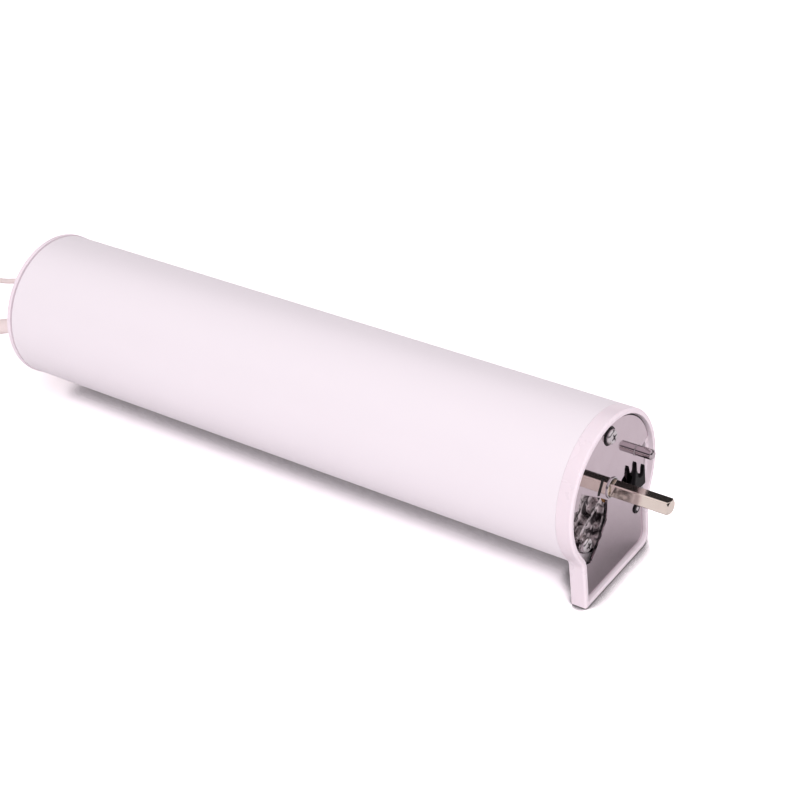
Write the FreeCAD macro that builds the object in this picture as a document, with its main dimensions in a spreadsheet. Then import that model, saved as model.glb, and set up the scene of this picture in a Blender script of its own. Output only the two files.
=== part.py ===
import FreeCAD, Part
import math
import os

import Sketcher
from FreeCAD import Placement, Rotation, Vector

# Tubular curtain motor lying along X. The origin is on the output shaft's axis in the plane of
# the bezel's front rim, +X points out along the shaft and +Z is up, away from the bezel's foot.
doc = FreeCAD.newDocument("CurtainMotor")
sheet = doc.addObject("Spreadsheet::Sheet", "Sizes")

SIZES = [
    ("tube_dia", 60, "outside of the aluminium tube"),
    ("tube_wall", 1.8, "wall of the tube"),
    ("tube_length", 266.4, "tube between the two end mouldings"),
    ("fit_gap", 0.1, "radial gap of pieces that are pushed into one another"),
    ("running_gap", 0.08, "radial gap of pieces that turn in one another"),
    ("bezel_depth", 6.4, "bezel along the axis, ahead of the tube"),
    ("rim_wall", 2.1, "rim round the polished plate"),
    ("foot_width", 46, "width of the foot"),
    ("foot_drop", 40, "shaft axis to the sole of the foot"),
    ("neck_radius", 8, "hollow between the round head and the leg"),
    ("foot_corner", 5.6, "large corner of the foot"),
    ("small_corner", 0.9, "small corner of the foot"),
    ("rim_chamfer", 0.6, "chamfer of the outer edges of bezel and rear lip"),
    ("ledge_width", 1.6, "ledge that carries the plate"),
    ("back_wall", 1.6, "wall behind the hollow foot"),
    ("spigot_length", 10, "spigot inside the tube"),
    ("spigot_wall", 2.2, "wall of the spigots"),
    ("heel_length", 2, "saddle rib behind the foot, along the axis"),
    ("heel_width", 30, "saddle rib, across"),
    ("heel_drop", 31, "shaft axis to the underside of the saddle rib"),
    ("plate_recess", 1.2, "rim to the front of the plate"),
    ("plate_thick", 1.2, "polished steel plate"),
    ("plate_gap", 0.4, "gap round the plate"),
    ("notch_inner", 6.8, "half width of the web between the side notches"),
    ("notch_top", 1.2, "inner corner of the notches, below the axis"),
    ("notch_rise", 8.6, "rise of the notch edge out to the rim"),
    ("bell_side", 9.6, "half width of the lower lobe where it starts to flare"),
    ("bell_side_drop", 10.2, "height of that place, below the axis"),
    ("bell_foot", 24, "half width of the lower lobe where it meets the rim"),
    ("bell_foot_drop", 21.4, "height of that place, below the axis"),
    ("collar_dia", 8.2, "collar round the root of the shaft"),
    ("collar_proud", 1.2, "collar ahead of the plate"),
    ("journal_dia", 6.5, "round bar of the output shaft"),
    ("drive_flats", 5, "square drive end across its flats"),
    ("drive_set_back", 1.1, "root of the square behind the front of the collar"),
    ("drive_turn", 35, "turn of the square about the axis, in degrees"),
    ("shaft_reach", 23, "tip of the shaft ahead of the rim"),
    ("tip_chamfer", 0.7, "chamfer at the tips of shaft and pin"),
    ("pin_dia", 4, "locating pin"),
    ("pin_root_dia", 4.8, "shouldered root of the pin, up to the front of the plate"),
    ("pin_reach", 5.8, "pin ahead of the rim"),
    ("pin_side", 18.2, "pin from the axis, across"),
    ("pin_lift", 4.8, "pin from the axis, up"),
    ("pin_depth", 3, "pin inside the flange"),
    ("catch_side", 12, "near side of the black catch from the axis"),
    ("catch_width", 7.4, "catch, across"),
    ("catch_drop", 10, "underside of the catch, below the axis"),
    ("catch_body", 5.6, "height of the catch without its fingers"),
    ("catch_tip", 0.4, "taller finger, above the axis"),
    ("catch_step", 2, "taller finger above the lower one"),
    ("catch_proud", 2.4, "catch ahead of the plate"),
    ("finger_wall", 2, "width of one finger"),
    ("flange_play", 0.4, "cast front flange and ring gear inside the spigot, radial"),
    ("flange_depth", 6.6, "flange along the axis"),
    ("flange_web_drop", 2, "cast face behind the bosses"),
    ("rib_width", 1.4, "ribs of the cast face"),
    ("hub_dia", 15, "hub round the front bearing"),
    ("boss_dia", 6.8, "bosses under the screws"),
    ("bush_dia", 12, "front bearing bush"),
    ("screw_edge", 2.7, "centres of the gearbox screws from the edge of the flange"),
    ("screw_angle", 37, "lower screws below the horizontal, in degrees"),
    ("screw_dia", 3, "thread of the screws"),
    ("head_dia", 5.8, "pan head of the screws"),
    ("head_height", 2, "pan head of the screws, height"),
    ("screw_grip", 14, "length of the gearbox screws under the head"),
    ("gear_module", 0.75, "module of all gears"),
    ("gear_width", 8, "face width of the gears"),
    ("sun_teeth", 12, "teeth of both sun gears"),
    ("planet_teeth", 18, "teeth of each planet"),
    ("tooth_top", 0.65, "tooth above the pitch circle"),
    ("tooth_root", 0.85, "tooth below the pitch circle"),
    ("backlash", 0.1, "play between meshing teeth"),
    ("axial_gap", 0.3, "play along the axis between turning pieces"),
    ("output_disc", 5, "thickness of the output carrier"),
    ("middle_disc", 4, "thickness of the first stage's carrier"),
    ("carrier_dia", 33, "both carriers"),
    ("planet_pin_dia", 4, "axles of the planets"),
    ("motor_plate", 5, "plate between gearbox and motor"),
    ("pilot_dia", 14, "hole of that plate round the motor's nose"),
    ("can_dia", 40, "motor can"),
    ("can_wall", 1.8, "wall of the motor can"),
    ("winding_gap", 1, "end turns to the commutator"),
    ("front_air", 1.2, "end turns to the front of the can"),
    ("motor_shaft_dia", 4, "rotor shaft"),
    ("shaft_clear", 3, "radius of the openings round the rotor shaft"),
    ("bearing_dia", 11, "rotor bearings"),
    ("bearing_width", 4, "rotor bearings along the axis"),
    ("core_dia", 25.4, "laminated rotor core"),
    ("core_length", 34, "laminated rotor core"),
    ("slot_dia", 4.4, "winding slots of the core"),
    ("slot_circle", 11.3, "winding slots from the axis"),
    ("core_gap", 0.6, "air gap between core and magnets"),
    ("magnet_angle", 130, "arc of each field magnet, in degrees"),
    ("winding_dia", 23, "end turns of the rotor"),
    ("winding_length", 5, "end turns of the rotor, each end"),
    ("commutator_dia", 12, "commutator"),
    ("commutator_length", 9, "commutator"),
    ("brush_width", 4, "carbon brush across"),
    ("brush_length", 5, "carbon brush along the axis"),
    ("brush_reach", 15, "outer end of the brushes from the axis"),
    ("bell_thick", 8, "motor end bell"),
    ("seat_wall", 1.5, "wall round the rear bearing"),
    ("holder_wall", 1.4, "brush holders round the brushes"),
    ("magnet_disc_dia", 12, "encoder magnet"),
    ("magnet_disc_width", 4, "encoder magnet"),
    ("sensor_gap", 2, "encoder magnet to its sensor"),
    ("sensor_height", 1.5, "sensor chip"),
    ("sensor_side", 4, "sensor chip, square"),
    ("board_thick", 1.6, "both circuit boards"),
    ("sensor_board_dia", 34, "sensor board"),
    ("post_dia", 5, "posts of the end bell"),
    ("post_circle", 13, "posts from the axis"),
    ("damper_width", 6, "rubber ring round the motor"),
    ("tray_start", 134, "front of the board tray behind the rim"),
    ("tray_length", 116, "board tray"),
    ("tray_end_wall", 3, "end walls of the tray"),
    ("tray_side", 7.1, "side walls of the tray, across"),
    ("tray_bottom", 5.1, "floor of the tray at its lowest line"),
    ("board_drop", 8, "underside of the control board, below the axis"),
    ("board_ledge", 3, "control board over each side wall"),
    ("board_length", 108, "control board"),
    ("capacitor_dia", 13, "motor capacitor"),
    ("capacitor_length", 24, "motor capacitor"),
    ("capacitor_side", 12, "motor capacitor from the axis, across"),
    ("capacitor_place", 62, "motor capacitor from the rear of the board"),
    ("transformer_length", 24, "mains transformer along the board"),
    ("transformer_width", 20, "mains transformer, across"),
    ("transformer_height", 17, "mains transformer"),
    ("transformer_place", 58, "mains transformer from the rear of the board"),
    ("relay_length", 10, "relay along the board"),
    ("relay_width", 19, "relay, across"),
    ("relay_height", 15, "relay"),
    ("relay_pitch", 12, "relay to relay"),
    ("relay_place", 32, "first relay from the rear of the board"),
    ("relay_side", 2, "relays from the middle of the board"),
    ("radio_length", 18, "radio module along the board"),
    ("radio_width", 16, "radio module, across"),
    ("radio_height", 3, "radio module"),
    ("radio_side", 19, "far side of the radio module from the middle of the board"),
    ("radio_place", 30, "radio module from the rear of the board"),
    ("terminal_length", 10, "terminal block along the board"),
    ("terminal_width", 26, "terminal block, across"),
    ("terminal_height", 11, "terminal block"),
    ("terminal_place", 4, "terminal block from the rear of the board"),
    ("mouth_pitch", 6, "wire mouths of the terminal block"),
    ("mouth_size", 4, "wire mouth, square"),
    ("mouth_lift", 3, "wire mouths above the board"),
    ("lip_proud", 0.3, "rear cap's lip beyond the tube, radial"),
    ("lip_thick", 2.2, "rear cap's lip"),
    ("neck_gap", 0.8, "shadow gap between tube and lip"),
    ("pillar_dia", 7, "pillars of the rear cap"),
    ("pillar_side", 18, "pillars from the axis, across"),
    ("pillar_lift", -16, "pillars from the axis, up"),
    ("cord_dia", 6.6, "power cord"),
    ("cord_side", 6, "power cord from the axis, to the left of the shaft"),
    ("cord_drop", 15.6, "power cord, below the axis"),
    ("gland_base_dia", 12, "strain relief inside the cap"),
    ("gland_collar_dia", 14.4, "collar of the strain relief"),
    ("gland_base", 4, "collar of the strain relief, along the axis"),
    ("gland_length", 20, "strain relief outside the cap"),
    ("gland_tip_dia", 8, "strain relief, at its tip"),
    ("gland_root", 6, "strain relief inside the cap"),
    ("wire_dia", 2.3, "aerial wire"),
    ("wire_clear", 0.2, "aerial wire above the turns that it lies on"),
    ("wire_side", 2, "aerial wire from the axis, to the left of the shaft"),
    ("wire_lift", 9, "aerial wire, above the axis"),
    ("grommet_dia", 5.6, "grommet of the aerial wire"),
    ("grommet_rim_dia", 7.2, "rim of the grommet"),
    ("grommet_tip_dia", 3.3, "grommet, at its tip"),
    ("grommet_nose", 3, "grommet outside the cap"),
    ("grommet_root", 5, "grommet inside the cap"),
    ("turn_gap", 0.5, "gap between the turns of the coiled cord"),
    ("inner_turn", 26.5, "radius of the tightest turn"),
    ("half_turns_in", 4, "half turns of the lower layer"),
    ("half_turns_out", 4, "half turns of the upper layer"),
    ("coil_back", 400, "middle of the coil behind the rim"),
    ("tie_thick", 0.8, "strap round the coil"),
    ("tie_width", 9, "strap round the coil, along the turns"),
    ("tie_gap", 0.1, "strap to cord"),
    ("plug_width", 36, "plug body across"),
    ("plug_height", 26, "plug body, height as it lies"),
    ("plug_body", 30, "plug body along the axis"),
    ("lead_turn", 30.6, "radius of the lead where it turns back over the coil"),
    ("lead_run", 13.4, "straight lead before that turn"),
    ("plug_relief", 20, "plug's strain relief"),
    ("relief_tip_dia", 8.2, "plug's strain relief, at the cord"),
    ("relief_dia", 13.4, "plug's strain relief, at the plug"),
    ("plug_round", 6, "rounding of the plug body's long edges"),
    ("prong_dia", 4.8, "plug pins"),
    ("prong_length", 19, "plug pins"),
    ("prong_pitch", 19, "plug pins, centre to centre"),
    ("prong_root", 4, "plug pins inside the body"),
]

for row, (alias, number, meaning) in enumerate(SIZES, start=1):
    sheet.set("A%d" % row, meaning)
    sheet.set("B%d" % row, str(number))
    sheet.setAlias("B%d" % row, alias)
doc.recompute()

SIZE_WORDS = {alias: "Sizes." + alias for alias, number, meaning in SIZES}


def bound(expression):
    """An expression of size names with the sheet's name put before each of them."""
    words = []
    word = ""
    for letter in expression + " ":
        if letter.isalnum() or letter in "_.":
            word += letter
            continue
        words.append(SIZE_WORDS.get(word, word) + letter)
        word = ""
    return "".join(words).strip()


def value(expression):
    """The number that an expression of sizes comes to."""
    return float(sheet.evalExpression(bound(expression)))


# Stations along the axis, from the front to the back
RIM_RADIUS = "tube_dia / 2"
PLATE_FRONT = "-plate_recess"
PLATE_BACK = "-(plate_recess + plate_thick)"
TUBE_FRONT = "-bezel_depth"
TUBE_BACK = "-(bezel_depth + tube_length)"
TUBE_BORE = "(tube_dia / 2 - tube_wall)"
SPIGOT_RADIUS = "(tube_dia / 2 - tube_wall - fit_gap)"
SPIGOT_BORE = "(tube_dia / 2 - tube_wall - fit_gap - spigot_wall)"
FLANGE_DIA = "(2 * (%s - flange_play))" % SPIGOT_BORE
SCREW_CIRCLE = "(%s / 2 - screw_edge)" % FLANGE_DIA
FLANGE_BACK = "-(plate_recess + plate_thick + flange_depth)"
FLANGE_FACE = "-(plate_recess + plate_thick + flange_web_drop)"
OUTPUT_FRONT = "(%s - axial_gap)" % FLANGE_BACK
OUTPUT_BACK = "(%s - output_disc)" % OUTPUT_FRONT
SECOND_GEARS_BACK = "(%s - axial_gap - gear_width)" % OUTPUT_BACK
MIDDLE_FRONT = "(%s - axial_gap)" % SECOND_GEARS_BACK
MIDDLE_BACK = "(%s - middle_disc)" % MIDDLE_FRONT
FIRST_GEARS_BACK = "(%s - axial_gap - gear_width)" % MIDDLE_BACK
RING_BACK = "(%s - 2 * axial_gap)" % FIRST_GEARS_BACK
CAN_FRONT = "(%s - motor_plate)" % RING_BACK
CORE_FRONT = "(%s - can_wall - front_air - winding_length)" % CAN_FRONT
CORE_BACK = "(%s - core_length)" % CORE_FRONT
COMMUTATOR_BACK = "(%s - winding_length - winding_gap - commutator_length)" % CORE_BACK
CAN_BACK = "(%s - axial_gap - bearing_width)" % COMMUTATOR_BACK
BELL_BACK = "(%s - bell_thick)" % CAN_BACK
DISC_FRONT = "(%s - post_dia / 2)" % BELL_BACK
DISC_BACK = "(%s - magnet_disc_width)" % DISC_FRONT
SENSOR_FRONT = "(%s - sensor_gap)" % DISC_BACK
SENSOR_BOARD_FRONT = "(%s - sensor_height)" % SENSOR_FRONT
TRAY_BACK = "-(tray_start + tray_length)"
LIP_BACK = "(%s - neck_gap - lip_thick)" % TUBE_BACK
PLANET_CENTRE = "(gear_module * (sun_teeth + planet_teeth) / 2)"
STEPS_ROUND = (0, 120, 240)


def bind(thing, **expressions):
    """Ties properties of one object to the sheet; a double underscore stands for a dot."""
    for name, expression in expressions.items():
        thing.setExpression(name.replace("__", "."), bound(expression))


def place(thing, x="0", y="0", z="0", turn=None):
    """Puts an object at a station that follows the sheet."""
    thing.Placement = Placement(Vector(value(x), value(y), value(z)), turn or Rotation())
    bind(thing, Placement__Base__x=x, Placement__Base__y=y, Placement__Base__z=z)
    return thing


ALONG_X = Rotation(Vector(0, 1, 0), 90)


def rod(name, dia, length, x, y="0", z="0"):
    """A round bar along X that starts at x."""
    bar = doc.addObject("Part::Cylinder", name)
    bind(bar, Radius="(%s) / 2" % dia, Height=length)
    return place(bar, x, y, z, ALONG_X)


def block(name, size, x, y, z):
    """A box from its lowest corner."""
    box = doc.addObject("Part::Box", name)
    bind(box, Length=size[0], Width=size[1], Height=size[2])
    return place(box, x, y, z)


def joined(name, things):
    whole = doc.addObject("Part::MultiFuse", name)
    whole.Shapes = things
    return whole


def carved(name, base, tools):
    """The base without the tools."""
    rest = doc.addObject("Part::Cut", name)
    rest.Base = base
    rest.Tool = tools[0] if len(tools) == 1 else joined(name + "_tools", tools)
    return rest


def new_body(name, x="0", y="0", z="0", turn=None):
    body = doc.addObject("PartDesign::Body", name)
    place(body, x, y, z, turn)
    return body


def new_sketch(body, role, name):
    """A sketch on one of the body's own origin planes."""
    plane = next(item for item in body.Origin.OriginFeatures if item.Role == role)
    sketch = body.newObject("Sketcher::SketchObject", name)
    sketch.AttachmentSupport = [(plane, "")]
    sketch.MapMode = "FlatFace"
    return sketch


def dimension(sketch, constraint, name, expression):
    """Adds a named constraint that follows the sheet."""
    index = sketch.addConstraint(constraint)
    sketch.renameConstraint(index, name)
    sketch.setExpression("Constraints." + name, bound(expression))


def pin_point(sketch, item, point, name, across, up):
    """Holds one point of the sketch at a place given by two expressions."""
    for kind, axis, words in (("DistanceX", -2, across), ("DistanceY", -1, up)):
        distance = value(words)
        if words == "0":
            sketch.addConstraint(Sketcher.Constraint("PointOnObject", item, point, axis))
        elif distance >= 0:
            rule = Sketcher.Constraint(kind, -1, 1, item, point, distance)
            dimension(sketch, rule, name + kind, words)
        else:
            rule = Sketcher.Constraint(kind, item, point, -1, 1, -distance)
            dimension(sketch, rule, name + kind, "-(%s)" % words)


def outline(sketch, corners, bows=None):
    """A closed outline through corners; bows gives a side a place that its arc passes through."""
    bows = bows or {}
    count = len(corners)
    spots = [Vector(value(across), value(up), 0) for across, up in corners]
    ends = {}
    for side in range(count):
        start, stop = spots[side], spots[(side + 1) % count]
        ends[side] = (1, 2)
        if side not in bows:
            sketch.addGeometry(Part.LineSegment(start, stop), False)
            continue
        middle = Vector(value(bows[side][0]), value(bows[side][1]), 0)
        round_side = Part.Circle(start, middle, stop)
        round_side = Part.Circle(round_side.Center, Vector(0, 0, 1), round_side.Radius)
        if (middle - start).cross(stop - middle).z < 0:
            ends[side] = (2, 1)
            start, stop = stop, start
        angles = (round_side.parameter(start), round_side.parameter(stop))
        sketch.addGeometry(Part.ArcOfCircle(round_side, *angles), False)
    for side in range(count):
        after = (side + 1) % count
        sketch.addConstraint(Sketcher.Constraint("Coincident", side, ends[side][1], after, ends[after][0]))
        pin_point(sketch, side, ends[side][0], "corner%d" % side, *corners[side])
    for side, (across, up) in bows.items():
        point = sketch.addGeometry(Part.Point(Vector(value(across), value(up), 0)), True)
        pin_point(sketch, point, 1, "bow%d" % side, across, up)
        sketch.addConstraint(Sketcher.Constraint("PointOnObject", point, 1, side))


def ring(sketch, dia, across="0", up="0"):
    """A circle whose middle and size follow the sheet."""
    radius = value("(%s) / 2" % dia)
    middle = Vector(value(across), value(up), 0)
    index = sketch.addGeometry(Part.Circle(middle, Vector(0, 0, 1), radius), False)
    pin_point(sketch, index, 3, "ring%d" % index, across, up)
    dimension(sketch, Sketcher.Constraint("Radius", index, radius), "radius%d" % index, "(%s) / 2" % dia)


def turned(name, x, profile, y="0", z="0"):
    """A body turned about X from a profile of (station behind its front end, radius)."""
    body = new_body(name, x, y, z, Rotation(Vector(0, 0, 1), 180))
    sketch = new_sketch(body, "XZ_Plane", name + "_profile")
    outline(sketch, profile)
    lathe = body.newObject("PartDesign::Revolution", name + "_turning")
    lathe.Profile = sketch
    lathe.ReferenceAxis = (sketch, ["H_Axis"])
    lathe.Angle = 360
    return body


def keyhole(sketch, inset):
    """The round head with its leg and foot, drawn inset from the bezel's outer edge."""
    head = value("%s - (%s)" % (RIM_RADIUS, inset))
    half = value("foot_width / 2 - (%s)" % inset)
    drop = value("foot_drop - (%s)" % inset)
    neck = value("neck_radius + (%s)" % inset)
    corner = value("foot_corner - (%s)" % inset)
    neck_height = -math.sqrt((head + neck) ** 2 - (half + neck) ** 2)
    lean = math.atan2(neck_height, half + neck)
    up = Vector(0, 0, 1)
    right_neck = Part.Circle(Vector(half + neck, neck_height, 0), up, neck)
    left_neck = Part.Circle(Vector(-half - neck, neck_height, 0), up, neck)
    turn = Part.Circle(Vector(half - corner, corner - drop, 0), up, corner)
    sketch.addGeometry([
        Part.ArcOfCircle(Part.Circle(Vector(), up, head), lean, math.pi - lean),
        Part.ArcOfCircle(left_neck, 0, -lean),
        Part.LineSegment(Vector(-half, neck_height, 0), Vector(-half, -drop, 0)),
        Part.LineSegment(Vector(-half, -drop, 0), Vector(half - corner, -drop, 0)),
        Part.ArcOfCircle(turn, -math.pi / 2, 0),
        Part.LineSegment(Vector(half, corner - drop, 0), Vector(half, neck_height, 0)),
        Part.ArcOfCircle(right_neck, math.pi + lean, math.pi),
    ], False)
    joints = ((0, 2, 1, 2), (1, 1, 2, 1), (3, 2, 4, 1), (4, 2, 5, 1), (5, 2, 6, 2), (6, 1, 0, 1))
    for joint in joints:
        sketch.addConstraint(Sketcher.Constraint("Tangent", *joint))
    sketch.addConstraint(Sketcher.Constraint("Coincident", 2, 2, 3, 1))
    sketch.addConstraint(Sketcher.Constraint("Coincident", 0, 3, -1, 1))
    sketch.addConstraint(Sketcher.Constraint("Vertical", 2))
    sketch.addConstraint(Sketcher.Constraint("Vertical", 5))
    sketch.addConstraint(Sketcher.Constraint("Horizontal", 3))
    sketch.addConstraint(Sketcher.Constraint("Equal", 1, 6))
    half_words = "foot_width / 2 - (%s)" % inset
    dimension(sketch, Sketcher.Constraint("Radius", 0, head), "head", "%s - (%s)" % (RIM_RADIUS, inset))
    dimension(sketch, Sketcher.Constraint("Radius", 6, neck), "neck", "neck_radius + (%s)" % inset)
    dimension(sketch, Sketcher.Constraint("Radius", 4, corner), "corner", "foot_corner - (%s)" % inset)
    dimension(sketch, Sketcher.Constraint("DistanceX", -1, 1, 5, 1, half), "right", half_words)
    dimension(sketch, Sketcher.Constraint("DistanceX", 2, 1, -1, 1, half), "left", half_words)
    dimension(sketch, Sketcher.Constraint("DistanceY", 3, 1, -1, 1, drop), "drop", "foot_drop - (%s)" % inset)


def padded(body, sketch, length, backwards=False):
    pad = body.newObject("PartDesign::Pad", sketch.Name + "_pad")
    pad.Profile = sketch
    pad.Reversed = backwards
    bind(pad, Length=length)
    return pad


def pocketed(body, sketch, depth=None):
    """A pocket into -X from its sketch; without a depth it goes right through."""
    doc.recompute()
    before = body.Shape.Volume
    pocket = body.newObject("PartDesign::Pocket", sketch.Name + "_pocket")
    pocket.Profile = sketch
    if depth is None:
        pocket.Type = "ThroughAll"
        pocket.Midplane = True
    else:
        bind(pocket, Length=depth)
    doc.recompute()
    if body.Shape.Volume > before - 0.01:
        raise ValueError("the pocket %s cuts nothing" % pocket.Name)
    return pocket


def face_sketch(body, name, station="0"):
    """A sketch across the axis, that far ahead of the body's own origin."""
    sketch = new_sketch(body, "YZ_Plane", name)
    sketch.AttachmentOffset = Placement(Vector(0, 0, value(station)), Rotation())
    bind(sketch, AttachmentOffset__Base__z=station)
    return sketch


def chosen_edges(body, chosen):
    """The body's last feature with the names of those of its edges that the test picks."""
    doc.recompute()
    return body.Tip, ["Edge%d" % (i + 1) for i, edge in enumerate(body.Tip.Shape.Edges) if chosen(edge)]


def rounded_edges(body, name, radius, chosen):
    base = chosen_edges(body, chosen)
    rounding = body.newObject("PartDesign::Fillet", name)
    rounding.Base = base
    bind(rounding, Radius=radius)


def chamfered_edges(body, name, size, chosen):
    base = chosen_edges(body, chosen)
    chamfer = body.newObject("PartDesign::Chamfer", name)
    chamfer.Base = base
    bind(chamfer, Size=size)


def front_bezel():
    """The moulded bezel: keyhole rim, ledge, hollow foot, spigot and saddle rib."""
    body = new_body("front_bezel", TUBE_FRONT)
    shell = face_sketch(body, "bezel_outline")
    keyhole(shell, "0")
    padded(body, shell, "bezel_depth")
    low = -value("foot_drop")
    left = -value("foot_width / 2")
    rounded_edges(body, "small_corner_round", "small_corner", lambda edge: all(
        abs(v.Y - left) < 0.01 and abs(v.Z - low) < 0.01 for v in edge.Vertexes))
    front = value("bezel_depth")
    chamfered_edges(body, "rim_edge_chamfer", "rim_chamfer", lambda edge: all(
        abs(v.X - front) < 0.01 for v in edge.Vertexes))
    seat = face_sketch(body, "plate_seat", "bezel_depth")
    keyhole(seat, "rim_wall")
    pocketed(body, seat, "plate_recess + plate_thick")
    hollow = face_sketch(body, "hollow", "bezel_depth")
    keyhole(hollow, "rim_wall + ledge_width")
    pocketed(body, hollow, "bezel_depth - back_wall")
    bore = face_sketch(body, "bore", "bezel_depth")
    ring(bore, "2 * " + SPIGOT_BORE)
    pocketed(body, bore)
    spigot = face_sketch(body, "spigot")
    ring(spigot, "2 * " + SPIGOT_RADIUS)
    ring(spigot, "2 * " + SPIGOT_BORE)
    padded(body, spigot, "spigot_length", backwards=True)
    saddle = "(%s + fit_gap)" % RIM_RADIUS
    edge_height = "-sqrt(%s ^ 2 - (heel_width / 2) ^ 2)" % saddle
    heel = face_sketch(body, "heel")
    outline(heel, [
        ("-heel_width / 2", "-heel_drop"),
        ("heel_width / 2", "-heel_drop"),
        ("heel_width / 2", edge_height),
        ("-heel_width / 2", edge_height),
    ], {2: ("0", "-" + saddle)})
    padded(body, heel, "heel_length", backwards=True)
    return body


def face_plate():
    """The polished plate, with a notch at each side and holes for collar, pin and screw."""
    body = new_body("face_plate", PLATE_BACK)
    shape = face_sketch(body, "plate_outline")
    keyhole(shape, "rim_wall + plate_gap")
    padded(body, shape, "plate_thick")
    holes = face_sketch(body, "plate_holes", "plate_thick")
    ring(holes, "collar_dia + 2 * fit_gap")
    ring(holes, "pin_root_dia + 2 * fit_gap", "pin_side", "pin_lift")
    ring(holes, "screw_dia + 2 * fit_gap", "0", SCREW_CIRCLE)
    pocketed(body, holes)
    for name, side in (("right_notch", ""), ("left_notch", "-")):
        notch = face_sketch(body, name, "plate_thick")
        outline(notch, [
            (side + "notch_inner", "-notch_top"),
            (side + "(%s)" % RIM_RADIUS, "notch_rise - notch_top"),
            (side + "(%s)" % RIM_RADIUS, "-bell_foot_drop"),
            (side + "bell_foot", "-bell_foot_drop"),
        ], {3: (side + "bell_side", "-bell_side_drop")})
        pocketed(body, notch)
    return body


DRIVE_ROOT = "(collar_proud - plate_recess - drive_set_back)"


def output_shaft():
    """A round bar whose drive end is milled square, so that the bar's skin rounds its corners."""
    prism = doc.addObject("Part::Prism", "square_end")
    prism.Polygon = 4
    bind(prism, Circumradius="drive_flats / cos(45) / 2", Height="shaft_reach - " + DRIVE_ROOT)
    place(prism, DRIVE_ROOT, turn=ALONG_X * Rotation(Vector(0, 0, 1), value("drive_turn")))
    nose = turned("bar_nose", "shaft_reach", [
        ("0", "0"),
        ("shaft_reach - " + DRIVE_ROOT, "0"),
        ("shaft_reach - " + DRIVE_ROOT, "journal_dia / 2"),
        ("tip_chamfer", "journal_dia / 2"),
        ("0", "journal_dia / 2 - tip_chamfer"),
    ])
    drive = doc.addObject("Part::Common", "drive_end")
    drive.Base = prism
    drive.Tool = nose
    journal = rod("journal", "journal_dia", "%s - %s" % (DRIVE_ROOT, OUTPUT_BACK), OUTPUT_BACK)
    return joined("output_shaft", [drive, journal])


def pan_screw(name, x, y, z, grip):
    """A pan-head screw whose head sits at x."""
    return turned(name, "%s + head_height" % x, [
        ("0", "0"),
        ("head_height + " + grip, "0"),
        ("head_height + " + grip, "screw_dia / 2"),
        ("head_height", "screw_dia / 2"),
        ("head_height", "head_dia / 2"),
        ("0", "head_dia / 2"),
    ], y, z)


SCREW_Y = "%s * cos(screw_angle)" % SCREW_CIRCLE
SCREW_Z = "-%s * sin(screw_angle)" % SCREW_CIRCLE
SCREW_SPOTS = (("0", SCREW_CIRCLE), (SCREW_Y, SCREW_Z), ("-" + SCREW_Y, SCREW_Z))
RIB_ANGLES = (30, 122, 150, 200, 242, 298)


def gearbox_flange():
    """The cast front flange, with the hub, bosses and ribs that the plate rests on."""
    raised = "flange_web_drop"
    pieces = [rod("flange_disc", FLANGE_DIA, "flange_depth - flange_web_drop", FLANGE_BACK),
              rod("flange_hub", "hub_dia", raised, FLANGE_FACE)]
    for number, (y, z) in enumerate(SCREW_SPOTS):
        pieces.append(rod("flange_boss%d" % number, "boss_dia", raised, FLANGE_FACE, y, z))
    pieces.append(rod("flange_pin_boss", "boss_dia", raised, FLANGE_FACE, "pin_side", "pin_lift"))
    for angle in RIB_ANGLES:
        rib = block("flange_rib%d" % angle, (raised, "%s / 2 - rib_width" % FLANGE_DIA, "rib_width"),
                    FLANGE_FACE, "0", "0")
        rib.Placement = Placement(rib.Placement.Base, Rotation(Vector(1, 0, 0), angle))
        bind(rib, Placement__Base__y="rib_width / 2 * sin(%d)" % angle,
             Placement__Base__z="-rib_width / 2 * cos(%d)" % angle)
        pieces.append(rib)
    casting = doc.addObject("Part::Common", "flange_casting")
    casting.Base = joined("flange_pieces", pieces)
    casting.Tool = rod("flange_bounds", FLANGE_DIA, "flange_depth", FLANGE_BACK)
    holes = [rod("flange_bore", "bush_dia", "flange_depth", FLANGE_BACK)]
    for number, (y, z) in enumerate(SCREW_SPOTS):
        holes.append(rod("flange_hole%d" % number, "screw_dia + 2 * fit_gap", "flange_depth", FLANGE_BACK, y, z))
    pin_root = "%s - pin_depth" % PLATE_BACK
    holes.append(rod("flange_pin_hole", "pin_root_dia", "pin_depth", pin_root, "pin_side", "pin_lift"))
    return carved("gearbox_flange", casting, holes)


def black_catch():
    """The moulded catch with its two fingers, standing out through the right notch."""
    body = new_body("black_catch", FLANGE_FACE)
    shape = face_sketch(body, "catch_outline")
    low_finger = "catch_tip - catch_step"
    shoulder = "catch_body - catch_drop"
    far = "catch_side + catch_width"
    outline(shape, [
        ("catch_side", "-catch_drop"),
        (far, "-catch_drop"),
        (far, low_finger),
        (far + " - finger_wall", low_finger),
        (far + " - finger_wall", shoulder),
        ("catch_side + finger_wall", shoulder),
        ("catch_side + finger_wall", "catch_tip"),
        ("catch_side", "catch_tip"),
    ])
    padded(body, shape, "flange_web_drop + plate_thick + catch_proud")
    return body


PRESSURE_ANGLE = math.radians(20)


def involute(angle):
    return math.tan(angle) - angle


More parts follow.
